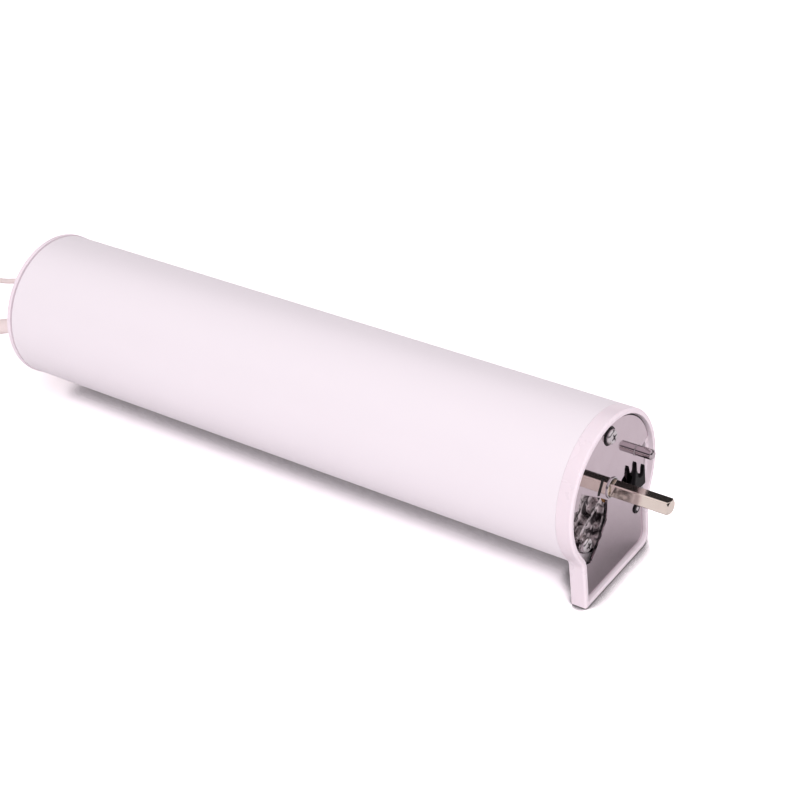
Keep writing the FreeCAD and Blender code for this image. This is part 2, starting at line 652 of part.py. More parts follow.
def tooth_outline(teeth, top, root, thinned, first_angle):
    """Points round a gear with involute flanks, the first tooth's middle at first_angle."""
    module = value("gear_module")
    pitch = module * teeth / 2
    base = pitch * math.cos(PRESSURE_ANGLE)
    half_tooth = math.pi / (2 * teeth) - thinned / (2 * pitch)
    flank = []
    for radius in (pitch - root, pitch, pitch + top):
        pressure = math.acos(min(1, base / radius))
        flank.append((radius, half_tooth + involute(PRESSURE_ANGLE) - involute(pressure)))
    points = []
    for tooth in range(teeth):
        middle = first_angle + 2 * math.pi * tooth / teeth
        for radius, half in flank:
            points.append((radius, middle - half))
        for radius, half in reversed(flank):
            points.append((radius, middle + half))
    return points


def toothed_solid(points, back, width, y=0.0, z=0.0):
    """A prism along X over the outline points, from its back station."""
    corners = [Vector(back, y + radius * math.cos(turn), z + radius * math.sin(turn)) for radius, turn in points]
    wire = Part.makePolygon(corners + corners[:1])
    return Part.Face(wire).extrude(Vector(width, 0, 0))


def round_solid(dia, back, width, y=0.0, z=0.0):
    return Part.makeCylinder(dia / 2, width, Vector(back, y, z), Vector(1, 0, 0))


def feature(name, shape):
    """A piece whose form comes from a formula that no sketch rule holds."""
    thing = doc.addObject("Part::Feature", name)
    thing.Shape = shape
    return thing


def external_gear(teeth, back, width, bore, y=0.0, z=0.0, first_angle=0.0):
    points = tooth_outline(teeth, value("tooth_top"), value("tooth_root"), value("backlash"), first_angle)
    gear = toothed_solid(points, back, width, y, z)
    return gear.cut(round_solid(bore, back, width, y, z)) if bore else gear


def ring_gear():
    """The steel gearbox barrel with its internal teeth and blind screw holes."""
    teeth = int(value("sun_teeth + 2 * planet_teeth"))
    back = value(RING_BACK)
    width = value(FLANGE_BACK) - back
    spaces = tooth_outline(teeth, value("tooth_root"), value("tooth_top"), -value("backlash"), math.pi / teeth)
    barrel = round_solid(value(FLANGE_DIA), back, width).cut(toothed_solid(spaces, back, width))
    depth = value("screw_grip + fit_gap")
    hole = value("screw_dia")
    for y, z in SCREW_SPOTS:
        start = value(PLATE_BACK) - depth
        barrel = barrel.cut(round_solid(hole, start, value(FLANGE_BACK) - start, value(y), value(z)))
        barrel = barrel.cut(round_solid(hole, back, depth / 2, value(y), -value(z)))
    return feature("ring_gear", barrel)


def planets(stage, back_words):
    """Three planets, each with a tooth gap towards the sun and one towards the ring."""
    teeth = int(value("planet_teeth"))
    centre = value(PLANET_CENTRE)
    bore = value("planet_pin_dia + 2 * running_gap")
    for number, degrees in enumerate(STEPS_ROUND, start=1):
        turn = math.radians(degrees)
        y, z = centre * math.cos(turn), centre * math.sin(turn)
        gear = external_gear(teeth, value(back_words), value("gear_width"), bore, y, z, turn + math.pi / teeth)
        feature("%s_planet_%d" % (stage, number), gear)


def planet_pins(name, back, front):
    """Three axles, pressed into their carrier."""
    pins = []
    for degrees in STEPS_ROUND:
        y = "%s * cos(%d)" % (PLANET_CENTRE, degrees)
        z = "%s * sin(%d)" % (PLANET_CENTRE, degrees)
        pins.append(rod("%s%d" % (name, degrees), "planet_pin_dia", "%s - %s" % (front, back), back, y, z))
    return joined(name, pins)


def output_carrier():
    disc = rod("output_disc", "carrier_dia", "output_disc", OUTPUT_BACK)
    bore = rod("output_disc_bore", "journal_dia", "output_disc", OUTPUT_BACK)
    return carved("output_carrier", disc, [bore, planet_pins("output_disc_holes", OUTPUT_BACK, OUTPUT_FRONT)])


def middle_carrier():
    """The first stage's carrier with the second stage's sun gear on its front."""
    disc = round_solid(value("carrier_dia"), value(MIDDLE_BACK), value("middle_disc"))
    centre = value(PLANET_CENTRE)
    for degrees in STEPS_ROUND:
        turn = math.radians(degrees)
        hole = (centre * math.cos(turn), centre * math.sin(turn))
        disc = disc.cut(round_solid(value("planet_pin_dia"), value(MIDDLE_BACK), value("middle_disc"), *hole))
    reach = value("gear_width + axial_gap")
    sun = external_gear(int(value("sun_teeth")), value(MIDDLE_FRONT), reach, 0)
    return feature("middle_carrier", disc.fuse(sun))


def motor_parts():
    """The motor: can, magnets, end bell, brushes, bearings and everything on the rotor."""
    nose = "pilot_dia / 2 - fit_gap"
    nose_length = "motor_plate / 2"
    can_bore = "can_dia - 2 * can_wall"
    can_length = "%s - %s" % (CAN_FRONT, CAN_BACK)
    turned("motor_can", "%s + %s" % (CAN_FRONT, nose_length), [
        ("0", "bearing_dia / 2"),
        (nose_length + " + can_wall", "bearing_dia / 2"),
        (nose_length + " + can_wall", "(%s) / 2" % can_bore),
        ("%s + %s" % (nose_length, can_length), "(%s) / 2" % can_bore),
        ("%s + %s" % (nose_length, can_length), "can_dia / 2"),
        (nose_length, "can_dia / 2"),
        (nose_length, nose),
        ("0", nose),
    ])
    shaft_bore = "motor_shaft_dia + 2 * running_gap"
    front_seat = "%s + %s - bearing_width" % (CAN_FRONT, nose_length)
    for name, back in (("front_motor_bearing", front_seat), ("rear_motor_bearing", CAN_BACK)):
        blank = rod(name + "_blank", "bearing_dia", "bearing_width", back)
        carved(name, blank, [rod(name + "_bore", shaft_bore, "bearing_width", back)])
    arcs = []
    for number, side in enumerate((0, 180)):
        arc = rod("magnet_arc%d" % number, can_bore, "core_length", CORE_BACK)
        bind(arc, Angle="magnet_angle")
        start = side - value("magnet_angle") / 2
        arc.Placement = Placement(arc.Placement.Base, ALONG_X * Rotation(Vector(0, 0, 1), start))
        arcs.append(arc)
    inner = rod("magnet_bore", "core_dia + 2 * core_gap", "core_length", CORE_BACK)
    carved("field_magnets", joined("magnet_arcs", arcs), [inner])
    end_bell()
    brushes()
    rotor()
    sensor_disc = rod("sensor_board_disc", "sensor_board_dia", "board_thick", "%s - board_thick" % SENSOR_BOARD_FRONT)
    chip = block("sensor_chip", ("sensor_height", "sensor_side", "sensor_side"), SENSOR_BOARD_FRONT,
                 "-sensor_side / 2", "-sensor_side / 2")
    joined("sensor_board", [sensor_disc, chip])


CORE_SLOTS = 5
BRUSH_BACK = "(%s + (commutator_length - brush_length) / 2)" % COMMUTATOR_BACK


def end_bell():
    """The moulded end bell with the rear bearing's seat, two brush holders and the board's posts."""
    cup = turned("end_bell_cup", "%s + bearing_width" % CAN_BACK, [
        ("0", "bearing_dia / 2"),
        ("bearing_width", "bearing_dia / 2"),
        ("bearing_width", "shaft_clear"),
        ("bearing_width + bell_thick", "shaft_clear"),
        ("bearing_width + bell_thick", "can_dia / 2"),
        ("bearing_width", "can_dia / 2"),
        ("bearing_width", "bearing_dia / 2 + seat_wall"),
        ("0", "bearing_dia / 2 + seat_wall"),
    ])
    pieces = [cup]
    reach = "(can_dia / 2 - can_wall - fit_gap)"
    across = "(brush_width + 2 * holder_wall)"
    tall = "(%s - bearing_dia / 2 - seat_wall - fit_gap)" % reach
    for name, low in (("upper", "%s - %s" % (reach, tall)), ("lower", "-" + reach)):
        size = ("%s + brush_length - %s" % (BRUSH_BACK, CAN_BACK), across, tall)
        pieces.append(block("holder_" + name, size, CAN_BACK, "-%s / 2" % across, low))
    bounds = rod("holder_bounds", "2 * " + reach, "%s + brush_length - %s" % (BRUSH_BACK, CAN_BACK), CAN_BACK)
    holders = doc.addObject("Part::Common", "brush_holders")
    holders.Base = joined("holder_blocks", pieces[1:])
    holders.Tool = bounds
    pieces = [cup, holders]
    for name, side in (("upper", ""), ("lower", "-")):
        pieces.append(rod("bell_post_" + name, "post_dia", "%s - %s" % (BELL_BACK, SENSOR_BOARD_FRONT),
                          SENSOR_BOARD_FRONT, "0", side + "post_circle"))
    slot_size = ("brush_length", "brush_width", "2 * brush_reach")
    slot = block("brush_slot", slot_size, BRUSH_BACK, "-brush_width / 2", "-brush_reach")
    carved("motor_end_bell", joined("end_bell_pieces", pieces), [slot])


def brushes():
    inner_end = "(commutator_dia / 2 + running_gap)"
    size = ("brush_length", "brush_width", "brush_reach - " + inner_end)
    upper = block("upper_brush", size, BRUSH_BACK, "-brush_width / 2", inner_end)
    lower = block("lower_brush", size, BRUSH_BACK, "-brush_width / 2", "-brush_reach")
    joined("carbon_brushes", [upper, lower])


def rotor():
    """Shaft, laminated core, end turns, commutator, pinion and encoder magnet."""
    on_shaft = "motor_shaft_dia"
    core = rod("core_blank", "core_dia", "core_length", CORE_BACK)
    cuts = [rod("core_bore", on_shaft, "core_length", CORE_BACK)]
    for slot in range(CORE_SLOTS):
        angle = 360 / CORE_SLOTS * slot
        cuts.append(rod("core_slot%d" % slot, "slot_dia", "core_length", CORE_BACK,
                        "slot_circle * cos(%g)" % angle, "slot_circle * sin(%g)" % angle))
    carved("rotor_core", core, cuts)
    coils = []
    for name, back in (("front_turns", CORE_FRONT), ("rear_turns", "%s - winding_length" % CORE_BACK)):
        blank = rod(name + "_blank", "winding_dia", "winding_length", back)
        coils.append(carved(name, blank, [rod(name + "_bore", on_shaft, "winding_length", back)]))
    joined("rotor_windings", coils)
    blank = rod("commutator_blank", "commutator_dia", "commutator_length", COMMUTATOR_BACK)
    carved("commutator", blank, [rod("commutator_bore", on_shaft, "commutator_length", COMMUTATOR_BACK)])
    shaft_front = "(%s + gear_width)" % FIRST_GEARS_BACK
    rod("motor_shaft", on_shaft, "%s - %s" % (shaft_front, DISC_BACK), DISC_BACK)
    teeth = int(value("sun_teeth"))
    width = value("gear_width")
    feature("motor_pinion", external_gear(teeth, value(FIRST_GEARS_BACK), width, value(on_shaft)))
    disc = rod("encoder_disc_blank", "magnet_disc_dia", "magnet_disc_width", DISC_BACK)
    carved("encoder_magnet", disc, [rod("encoder_disc_bore", on_shaft, "magnet_disc_width", DISC_BACK)])


def front_pieces():
    """Bush, collar, pin, screws and the plate behind the gears."""
    bore = "journal_dia + 2 * running_gap"
    bush = rod("bush_blank", "bush_dia", "flange_depth", FLANGE_BACK)
    carved("front_bush", bush, [rod("bush_bore", bore, "flange_depth", FLANGE_BACK)])
    collar_length = "plate_thick + collar_proud"
    turned("shaft_collar", "%s + %s" % (PLATE_BACK, collar_length), [
        ("0", "(%s) / 2" % bore),
        (collar_length, "(%s) / 2" % bore),
        (collar_length, "collar_dia / 2"),
        ("0", "collar_dia / 2"),
    ])
    turned("locating_pin", "pin_reach", [
        ("0", "0"),
        ("pin_reach + plate_recess + plate_thick + pin_depth", "0"),
        ("pin_reach + plate_recess + plate_thick + pin_depth", "pin_root_dia / 2"),
        ("pin_reach + plate_recess", "pin_root_dia / 2"),
        ("pin_reach + plate_recess", "pin_dia / 2"),
        ("tip_chamfer", "pin_dia / 2"),
        ("0", "pin_dia / 2 - tip_chamfer"),
    ], "pin_side", "pin_lift")
    pan_screw("plate_screw", PLATE_FRONT, *SCREW_SPOTS[0], "screw_grip")
    lower = [pan_screw("flange_screw_%s" % side, PLATE_BACK, *spot, "screw_grip")
             for side, spot in zip(("right", "left"), SCREW_SPOTS[1:])]
    joined("flange_screws", lower)
    disc = rod("motor_plate_disc", FLANGE_DIA, "motor_plate", CAN_FRONT)
    cuts = [rod("motor_plate_pilot", "pilot_dia", "motor_plate", CAN_FRONT)]
    bolts = []
    for number, (y, z) in enumerate(SCREW_SPOTS):
        spot = (y, "-(%s)" % z)
        cuts.append(rod("motor_plate_hole%d" % number, "screw_dia", "motor_plate", CAN_FRONT, *spot))
        bolts.append(rod("gearbox_bolt%d" % number, "screw_dia - 2 * fit_gap", "motor_plate + screw_grip / 2",
                         CAN_FRONT, *spot))
    joined("gearbox_bolts", bolts)
    carved("motor_plate_casting", disc, cuts)
    damper_back = "%s + 2 * damper_width" % CAN_BACK
    damper = rod("damper_blank", "2 * %s" % SPIGOT_RADIUS, "damper_width", damper_back)
    carved("motor_damper", damper, [rod("damper_bore", "can_dia", "damper_width", damper_back)])


def housing_tube():
    outer = rod("tube_outer", "tube_dia", "tube_length", TUBE_BACK)
    return carved("housing_tube", outer, [rod("tube_bore", "2 * " + TUBE_BORE, "tube_length", TUBE_BACK)])


BOARD_TOP = "(board_thick - board_drop)"
TRAY_CHANNEL = "(2 * (%s - tray_side))" % SPIGOT_RADIUS
TRAY_FLOOR = "(%s - tray_bottom)" % SPIGOT_RADIUS
BOARD_WIDTH = "(%s + 2 * board_ledge)" % TRAY_CHANNEL


def electronics():
    """Board tray, control board and the larger components on it."""
    round_bar = rod("tray_round", "2 * " + SPIGOT_RADIUS, "tray_length", TRAY_BACK)
    size = ("tray_length", "tube_dia", "tube_dia")
    low_half = block("tray_half", size, TRAY_BACK, "-tube_dia / 2", "-board_drop - tube_dia")
    segment = doc.addObject("Part::Common", "tray_segment")
    segment.Base = round_bar
    segment.Tool = low_half
    channel = block("tray_channel_cut", ("tray_length - 2 * tray_end_wall", TRAY_CHANNEL, TRAY_FLOOR),
                    "%s + tray_end_wall" % TRAY_BACK, "-%s / 2" % TRAY_CHANNEL, "-" + TRAY_FLOOR)
    carved("board_tray", segment, [channel])
    board_x = "(%s + (tray_length - board_length) / 2)" % TRAY_BACK
    block("control_board", ("board_length", BOARD_WIDTH, "board_thick"), board_x,
          "-%s / 2" % BOARD_WIDTH, "-board_drop")
    rod("board_capacitor", "capacitor_dia", "capacitor_length", "%s + capacitor_place" % board_x,
        "capacitor_side", "capacitor_dia / 2 + %s" % BOARD_TOP)
    block("mains_transformer", ("transformer_length", "transformer_width", "transformer_height"),
          "%s + transformer_place" % board_x, "-transformer_width", BOARD_TOP)
    relays = [block("relay%d" % step, ("relay_length", "relay_width", "relay_height"),
                    "%s + relay_place + %d * relay_pitch" % (board_x, step), "relay_side", BOARD_TOP)
              for step in (0, 1)]
    joined("direction_relays", relays)
    block("radio_module", ("radio_length", "radio_width", "radio_height"),
          "%s + radio_place" % board_x, "-radio_side", BOARD_TOP)
    terminal = block("terminal_body", ("terminal_length", "terminal_width", "terminal_height"),
                     "%s + terminal_place" % board_x, "-terminal_width / 2", BOARD_TOP)
    mouths = [block("terminal_mouth%d" % step, ("terminal_length / 2", "mouth_size", "mouth_size"),
                    "%s + terminal_place" % board_x,
                    "(%d - 1.5) * mouth_pitch - mouth_size / 2" % step, "mouth_lift + %s" % BOARD_TOP)
              for step in range(4)]
    carved("terminal_block", terminal, mouths)


def rear_end():
    """Rear cap with its lip and pillars, its screws, the strain relief and the grommet."""
    lip_start = "spigot_length + neck_gap"
    end = "spigot_length + neck_gap + lip_thick"
    lip = "(tube_dia / 2 + lip_proud)"
    cap = turned("cap_blank", "%s + spigot_length" % TUBE_BACK, [
        ("0", SPIGOT_BORE),
        ("spigot_length", SPIGOT_BORE),
        ("spigot_length", "0"),
        (end, "0"),
        (end, "%s - rim_chamfer" % lip),
        (end + " - rim_chamfer", lip),
        (lip_start, lip),
        (lip_start, SPIGOT_RADIUS),
        ("0", SPIGOT_RADIUS),
    ])
    reach = "%s - %s" % (TRAY_BACK, LIP_BACK)
    pieces = [cap]
    screws = []
    holes = [rod("cap_cord_hole", "gland_base_dia", "spigot_length", "%s" % LIP_BACK, "-cord_side", "-cord_drop"),
             rod("cap_wire_hole", "grommet_dia", "spigot_length", "%s" % LIP_BACK, "-wire_side", "wire_lift")]
    for name, side in (("right", ""), ("left", "-")):
        across = side + "pillar_side"
        pieces.append(rod("pillar_%s" % name, "pillar_dia", reach, LIP_BACK, across, "pillar_lift"))
        holes.append(rod("pillar_hole_%s" % name, "screw_dia", "2 * screw_grip", LIP_BACK, across, "pillar_lift"))
        holes.append(rod("pillar_sink_%s" % name, "head_dia + 2 * fit_gap", "lip_thick", LIP_BACK, across, "pillar_lift"))
        shank = rod("cap_screw_%s_shank" % name, "screw_dia - 2 * fit_gap", "screw_grip",
                    "%s + lip_thick" % LIP_BACK, across, "pillar_lift")
        head = rod("cap_screw_%s_head" % name, "head_dia", "head_height",
                   "%s + lip_thick - head_height" % LIP_BACK, across, "pillar_lift")
        screws.append(joined("cap_screw_" + name, [shank, head]))
    carved("rear_cap", joined("cap_pieces", pieces), holes)
    joined("rear_cap_screws", screws)
    total = "(gland_root + lip_thick + neck_gap + gland_length)"
    outside = total + " - gland_length"
    turned("strain_relief", "%s + lip_thick + neck_gap + gland_root" % LIP_BACK, [
        ("0", "0"),
        (total, "0"),
        (total, "gland_tip_dia / 2"),
        (outside + " + gland_base", "gland_collar_dia / 2"),
        (outside, "gland_collar_dia / 2"),
        (outside, "gland_base_dia / 2"),
        ("0", "gland_base_dia / 2"),
    ], "-cord_side", "-cord_drop")
    depth = "(grommet_root + lip_thick + neck_gap)"
    turned("aerial_grommet", "%s + %s" % (LIP_BACK, depth), [
        ("0", "0"),
        (depth + " + grommet_nose", "0"),
        (depth + " + grommet_nose", "grommet_tip_dia / 2"),
        (depth, "grommet_rim_dia / 2"),
        (depth, "grommet_dia / 2"),
        ("0", "grommet_dia / 2"),
    ], "-wire_side", "wire_lift")


FLOOR = "-foot_drop"
COIL_LOW = "(%s + tie_thick + tie_gap + cord_dia / 2)" % FLOOR
TURN_PITCH = "(cord_dia + turn_gap)"
COIL_HIGH = "(%s + %s)" % (COIL_LOW, TURN_PITCH)
PLUG_HEIGHT = "(%s + cord_dia / 2 + plug_height / 2)" % COIL_HIGH


def routed(points):
    """A path of straight runs and the largest tangent arcs that they allow, and its radii."""
    edges = []
    radii = []
    start = points[0]
    for before, corner, after in zip(points, points[1:], points[2:]):
        run_in, run_out = corner - before, after - corner
        turn = run_in.getAngle(run_out)
        setback = 0.45 * min(run_in.Length, run_out.Length)
        radii.append(setback / math.tan(turn / 2))
        enter = corner - run_in.normalize() * setback
        leave = corner + run_out.normalize() * setback
        bisector = (run_out - run_in).normalize()
        middle = corner + bisector * (radii[-1] / math.cos(turn / 2) - radii[-1])
        edges += [Part.LineSegment(start, enter).toShape(), Part.Arc(enter, middle, leave).toShape()]
        start = leave
    edges.append(Part.LineSegment(start, points[-1]).toShape())
    return Part.Wire(edges), radii


CORD_SIDES = 6


def swept(name, path, start, heading, dia):
    """One unbroken six-sided tube along the path, its volume set against section times length."""
    level = heading.cross(Vector(0, 0, 1)).normalize()
    rise = level.cross(heading).normalize()
    corners = []
    for step in range(CORD_SIDES + 1):
        turn = 2 * math.pi * (step % CORD_SIDES) / CORD_SIDES
        corners.append(start + (level * math.cos(turn) + rise * math.sin(turn)) * (dia / 2))
    section = Part.makePolygon(corners)
    tube = path.makePipeShell([section], True, False)
    solid = tube.Solids[0] if tube.Solids else Part.Solid(tube)
    ideal = Part.Face(section).Area * path.Length
    print("%s: length %.1f, volume over section times length %.4f" % (name, path.Length, solid.Volume / ideal))
    return feature(name, solid)


def free_cord(name, route, dia):
    path, radii = routed(route)
    print("%s: radii %s" % (name, ", ".join("%.1f" % radius for radius in radii)))
    return swept(name, path, route[0], route[1] - route[0], dia)


def tangent_arcs(start, start_heading, stop, stop_heading):
    """Two arcs, a quarter turn each, that join two places with the given headings."""
    chord = stop - start
    along = chord.dot(start_heading + stop_heading)
    spread = 2 * (1 - start_heading.dot(stop_heading))
    reach = (math.sqrt(along ** 2 + spread * chord.dot(chord)) - along) / spread
    middle = (start + start_heading * reach + stop - stop_heading * reach) * 0.5
    arcs = []
    for place_from, heading, place_to in ((start, start_heading, middle), (stop, stop_heading * -1, middle)):
        way = place_to - place_from
        normal = heading.cross(way).normalize()
        inward = normal.cross(heading).normalize()
        radius = way.dot(way) / (2 * way.dot(inward))
        centre = place_from + inward * radius
        bow = centre + ((place_from - centre) + (place_to - centre)).normalize() * radius
        arcs.append((place_from, bow, place_to))
    first, second = arcs
    return [Part.Arc(*first).toShape(), Part.Arc(second[2], second[1], second[0]).toShape()]


def coil_path():
    """The put-away cord: half turns winding in below, one that climbs, and half turns out above."""
    step = value(TURN_PITCH) / 2
    tightest = value("inner_turn")
    below = int(value("half_turns_in"))
    above = int(value("half_turns_out"))
    low, high = value(COIL_LOW), value(COIL_HIGH)
    lead = Vector(-value("cord_dia"), 0, 0)
    spot = Vector(-value("coil_back"), -tightest - step * below, low)
    start = spot - lead
    edges = [Part.LineSegment(start, spot).toShape()]
    side = 1
    heading = Vector(-1, 0, 0)
    radii = [tightest + step * turn for turn in range(below, 0, -1)]
    radii.append(tightest)
    radii += [tightest + step * turn for turn in range(1, above + 1)]
    for number, radius in enumerate(radii):
        height = low if number < below else high
        stop = Vector(spot.x, spot.y + 2 * side * radius, height)
        edges += tangent_arcs(spot, heading, stop, heading * -1)
        spot, heading, side = stop, heading * -1, -side
    stop = spot + heading * value("cord_dia")
    edges.append(Part.LineSegment(spot, stop).toShape())
    return Part.Wire(edges), start, stop


def least_gap(path, dia):
    """The smallest gap of the coil to itself, measured on points along its path."""
    spacing = dia / 3
    points = path.discretize(Distance=spacing)
    skip = int(value("inner_turn") * math.pi / 2 / spacing)
    nearest = min(points[first].distanceToPoint(points[second])
                  for first in range(len(points)) for second in range(first + skip, len(points)))
    return nearest - dia


def coil_strap(outer_reach):
    """The strap round the bundle of turns on the side away from the start."""
    strands = max((value("half_turns_in") + 1) // 2, value("half_turns_out") // 2 + 1)
    tightest = value("inner_turn")
    curve = tightest - math.sqrt(tightest ** 2 - value("tie_width / 2") ** 2)
    wide = (strands - 1) * value(TURN_PITCH) + value("cord_dia") + curve
    tall = value(COIL_HIGH) - value(COIL_LOW) + value("cord_dia")
    gap, wall, width = value("tie_gap"), value("tie_thick"), value("tie_width")
    solids = []
    for margin in (gap + wall, gap):
        size = Vector(width, wide + 2 * margin, tall + 2 * margin)
        corner = Vector(-value("coil_back") - width / 2, outer_reach - margin, value(COIL_LOW) - value("cord_dia") / 2 - margin)
        solid = Part.makeBox(size.x, size.y, size.z, corner)
        lengthwise = [edge for edge in solid.Edges if abs(edge.tangentAt(0).x) > 0.9]
        solids.append(solid.makeFillet(value("cord_dia") / 2 + margin, lengthwise))
    return feature("coil_strap", solids[0].cut(solids[1]))


LEAD_CORNERS = 4


def lead_route(end):
    """The corners of the lead's turn back over the coil, up to the plug that lies on it."""
    turn, height = value("lead_turn"), value(PLUG_HEIGHT)
    middle = Vector(end.x + value("lead_run"), end.y - turn, 0)
    half_step = math.pi / (2 * LEAD_CORNERS)
    reach = turn / math.cos(half_step)
    corners = [end]
    for number in range(LEAD_CORNERS):
        angle = half_step * (2 * number + 1)
        level = end.z + (height - end.z) * number / (LEAD_CORNERS - 1)
        corners.append(middle + Vector(reach * math.sin(angle), reach * math.cos(angle), level))
    corners.append(corners[-1] - Vector(2 * turn * math.tan(half_step), 0, 0))
    return corners


def plug(tip):
    """The moulded two-pin plug with its strain relief, lying on the coil."""
    rear = tip.x - value("plug_relief")
    front = rear - value("plug_body")
    corner = Vector(front, tip.y - value("plug_width / 2"), tip.z - value("plug_height / 2"))
    moulding = Part.makeBox(rear - front, value("plug_width"), value("plug_height"), corner)
    lengthwise = [edge for edge in moulding.Edges if abs(edge.tangentAt(0).x) > 0.9]
    moulding = moulding.makeFillet(value("plug_round"), lengthwise)
    relief = Part.makeCone(value("relief_tip_dia / 2"), value("relief_dia / 2"), value("plug_relief"),
                           tip, Vector(-1, 0, 0))
    end = front - value("prong_length")
    prongs = Part.makeCompound([
        round_solid(value("prong_dia"), end, value("prong_root + prong_length"),
                    tip.y + side * value("prong_pitch"), tip.z) for side in (-0.5, 0.5)])
    feature("plug_body_moulding", moulding.fuse(relief).cut(prongs))
    feature("plug_prongs", prongs)


def cords():
    """Power cord, its coil with strap and plug, and the aerial wire."""
    side, drop = value("cord_side"), value("cord_drop")
    gland_end = value("%s - gland_length" % LIP_BACK)
    path, coil_start, coil_end = coil_path()
    swept("power_cord_coil", path, coil_start, Vector(-1, 0, 0), value("cord_dia"))
    print("power_cord_coil: least gap to itself %.2f" % least_gap(path, value("cord_dia")))
    free_cord("power_cord", [
        Vector(gland_end, -side, -drop),
        Vector(gland_end - 15, -side, -drop),
        Vector(-332, -13, -22),
        Vector(-357, coil_start.y + 6, coil_start.z),
        Vector(-378, coil_start.y, coil_start.z),
        coil_start,
    ], value("cord_dia"))
    lead = lead_route(coil_end)
    free_cord("plug_lead", lead, value("cord_dia"))
    coil_strap(coil_start.y - value("cord_dia / 2"))
    plug(lead[-1])
    wire_end = value("%s - grommet_nose" % LIP_BACK)
    on_coil = value("%s + cord_dia / 2 + wire_dia / 2 + wire_clear" % COIL_HIGH)
    wire_side, wire_lift = value("wire_side"), value("wire_lift")
    free_cord("aerial_wire", [
        Vector(wire_end, -wire_side, wire_lift),
        Vector(wire_end - 14, -wire_side, wire_lift),
        Vector(-308, 1, 6),
        Vector(-322, 5, 0),
        Vector(-338, 9, -5),
        Vector(-354, 14, -9.5),
        Vector(-370, 20, -17.5),
        Vector(-386, 25, on_coil),
        Vector(-402, 26, on_coil),
        Vector(-418, 20, on_coil),
    ], value("wire_dia"))


def gearbox():
    ring_gear()
    output_shaft()
    output_carrier()
    middle_carrier()
    planets("second", SECOND_GEARS_BACK)
    planets("first", FIRST_GEARS_BACK)
    planet_pins("output_carrier_pins", SECOND_GEARS_BACK, OUTPUT_FRONT)
    planet_pins("middle_carrier_pins", FIRST_GEARS_BACK, MIDDLE_FRONT)


front_bezel()
face_plate()
gearbox_flange()
black_catch()
front_pieces()
housing_tube()
gearbox()
motor_parts()
electronics()
rear_end()
cords()
doc.recompute()

NODES = {
    "housing_tube": "housing_tube",
    "front_bezel": "front_bezel",
    "face_plate": "face_plate",
    "gearbox_flange": "gearbox_flange",
    "black_catch": "black_catch",
    "shaft_collar": "shaft_collar",
    "front_bush": "front_bush",
    "locating_pin": "locating_pin",
    "plate_screw": "plate_screw",
    "flange_screws": "flange_screws",
    "ring_gear": "ring_gear",
    "motor_plate": "motor_plate_casting",
    "gearbox_bolts": "gearbox_bolts",
    "output_shaft": "output_shaft",
    "output_carrier": "output_carrier",
    "output_carrier_pins": "output_carrier_pins",
    "second_planet_1": "second_planet_1",
    "second_planet_2": "second_planet_2",
    "second_planet_3": "second_planet_3",
    "middle_carrier": "middle_carrier",
    "middle_carrier_pins": "middle_carrier_pins",
    "first_planet_1": "first_planet_1",
    "first_planet_2": "first_planet_2",
    "first_planet_3": "first_planet_3",
    "motor_pinion": "motor_pinion",
    "motor_shaft": "motor_shaft",
    "rotor_core": "rotor_core",
    "rotor_windings": "rotor_windings",
    "commutator": "commutator",
    "encoder_magnet": "encoder_magnet",
    "motor_can": "motor_can",
    "field_magnets": "field_magnets",
    "carbon_brushes": "carbon_brushes",
    "front_motor_bearing": "front_motor_bearing",
    "rear_motor_bearing": "rear_motor_bearing",
    "motor_end_bell": "motor_end_bell",
    "sensor_board": "sensor_board",
    "motor_damper": "motor_damper",
    "board_tray": "board_tray",
    "control_board": "control_board",
    "board_capacitor": "board_capacitor",
    "mains_transformer": "mains_transformer",
    "direction_relays": "direction_relays",
    "radio_module": "radio_module",
    "terminal_block": "terminal_block",
    "rear_cap": "rear_cap",
    "rear_cap_screws": "rear_cap_screws",
    "strain_relief": "strain_relief",
    "aerial_grommet": "aerial_grommet",
    "power_cord": "power_cord",
    "power_cord_coil": "power_cord_coil",
    "plug_lead": "plug_lead",
    "coil_strap": "coil_strap",
    "plug_body": "plug_body_moulding",
    "plug_prongs": "plug_prongs",
    "aerial_wire": "aerial_wire",
}

failed = [thing.Name for thing in doc.Objects if "Invalid" in thing.State or "Error" in thing.State]
if failed:
    raise ValueError("these objects failed: " + ", ".join(failed))
for node, name in NODES.items():
    piece = doc.getObject(name)
    piece.Label = node
    if piece.Shape.isNull() or not piece.Shape.isValid():
        raise ValueError("the shape of %s is not sound" % node)

os.makedirs("parts", exist_ok=True)
for node, name in NODES.items():
    doc.getObject(name).Shape.exportStep("parts/%s.step" % node)
print("%d pieces written" % len(NODES))
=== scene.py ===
import math

import bmesh
import bpy
from bpy.props import FloatProperty, FloatVectorProperty, PointerProperty
from bpy.types import Operator, Panel, PropertyGroup
from mathutils import Matrix, Vector


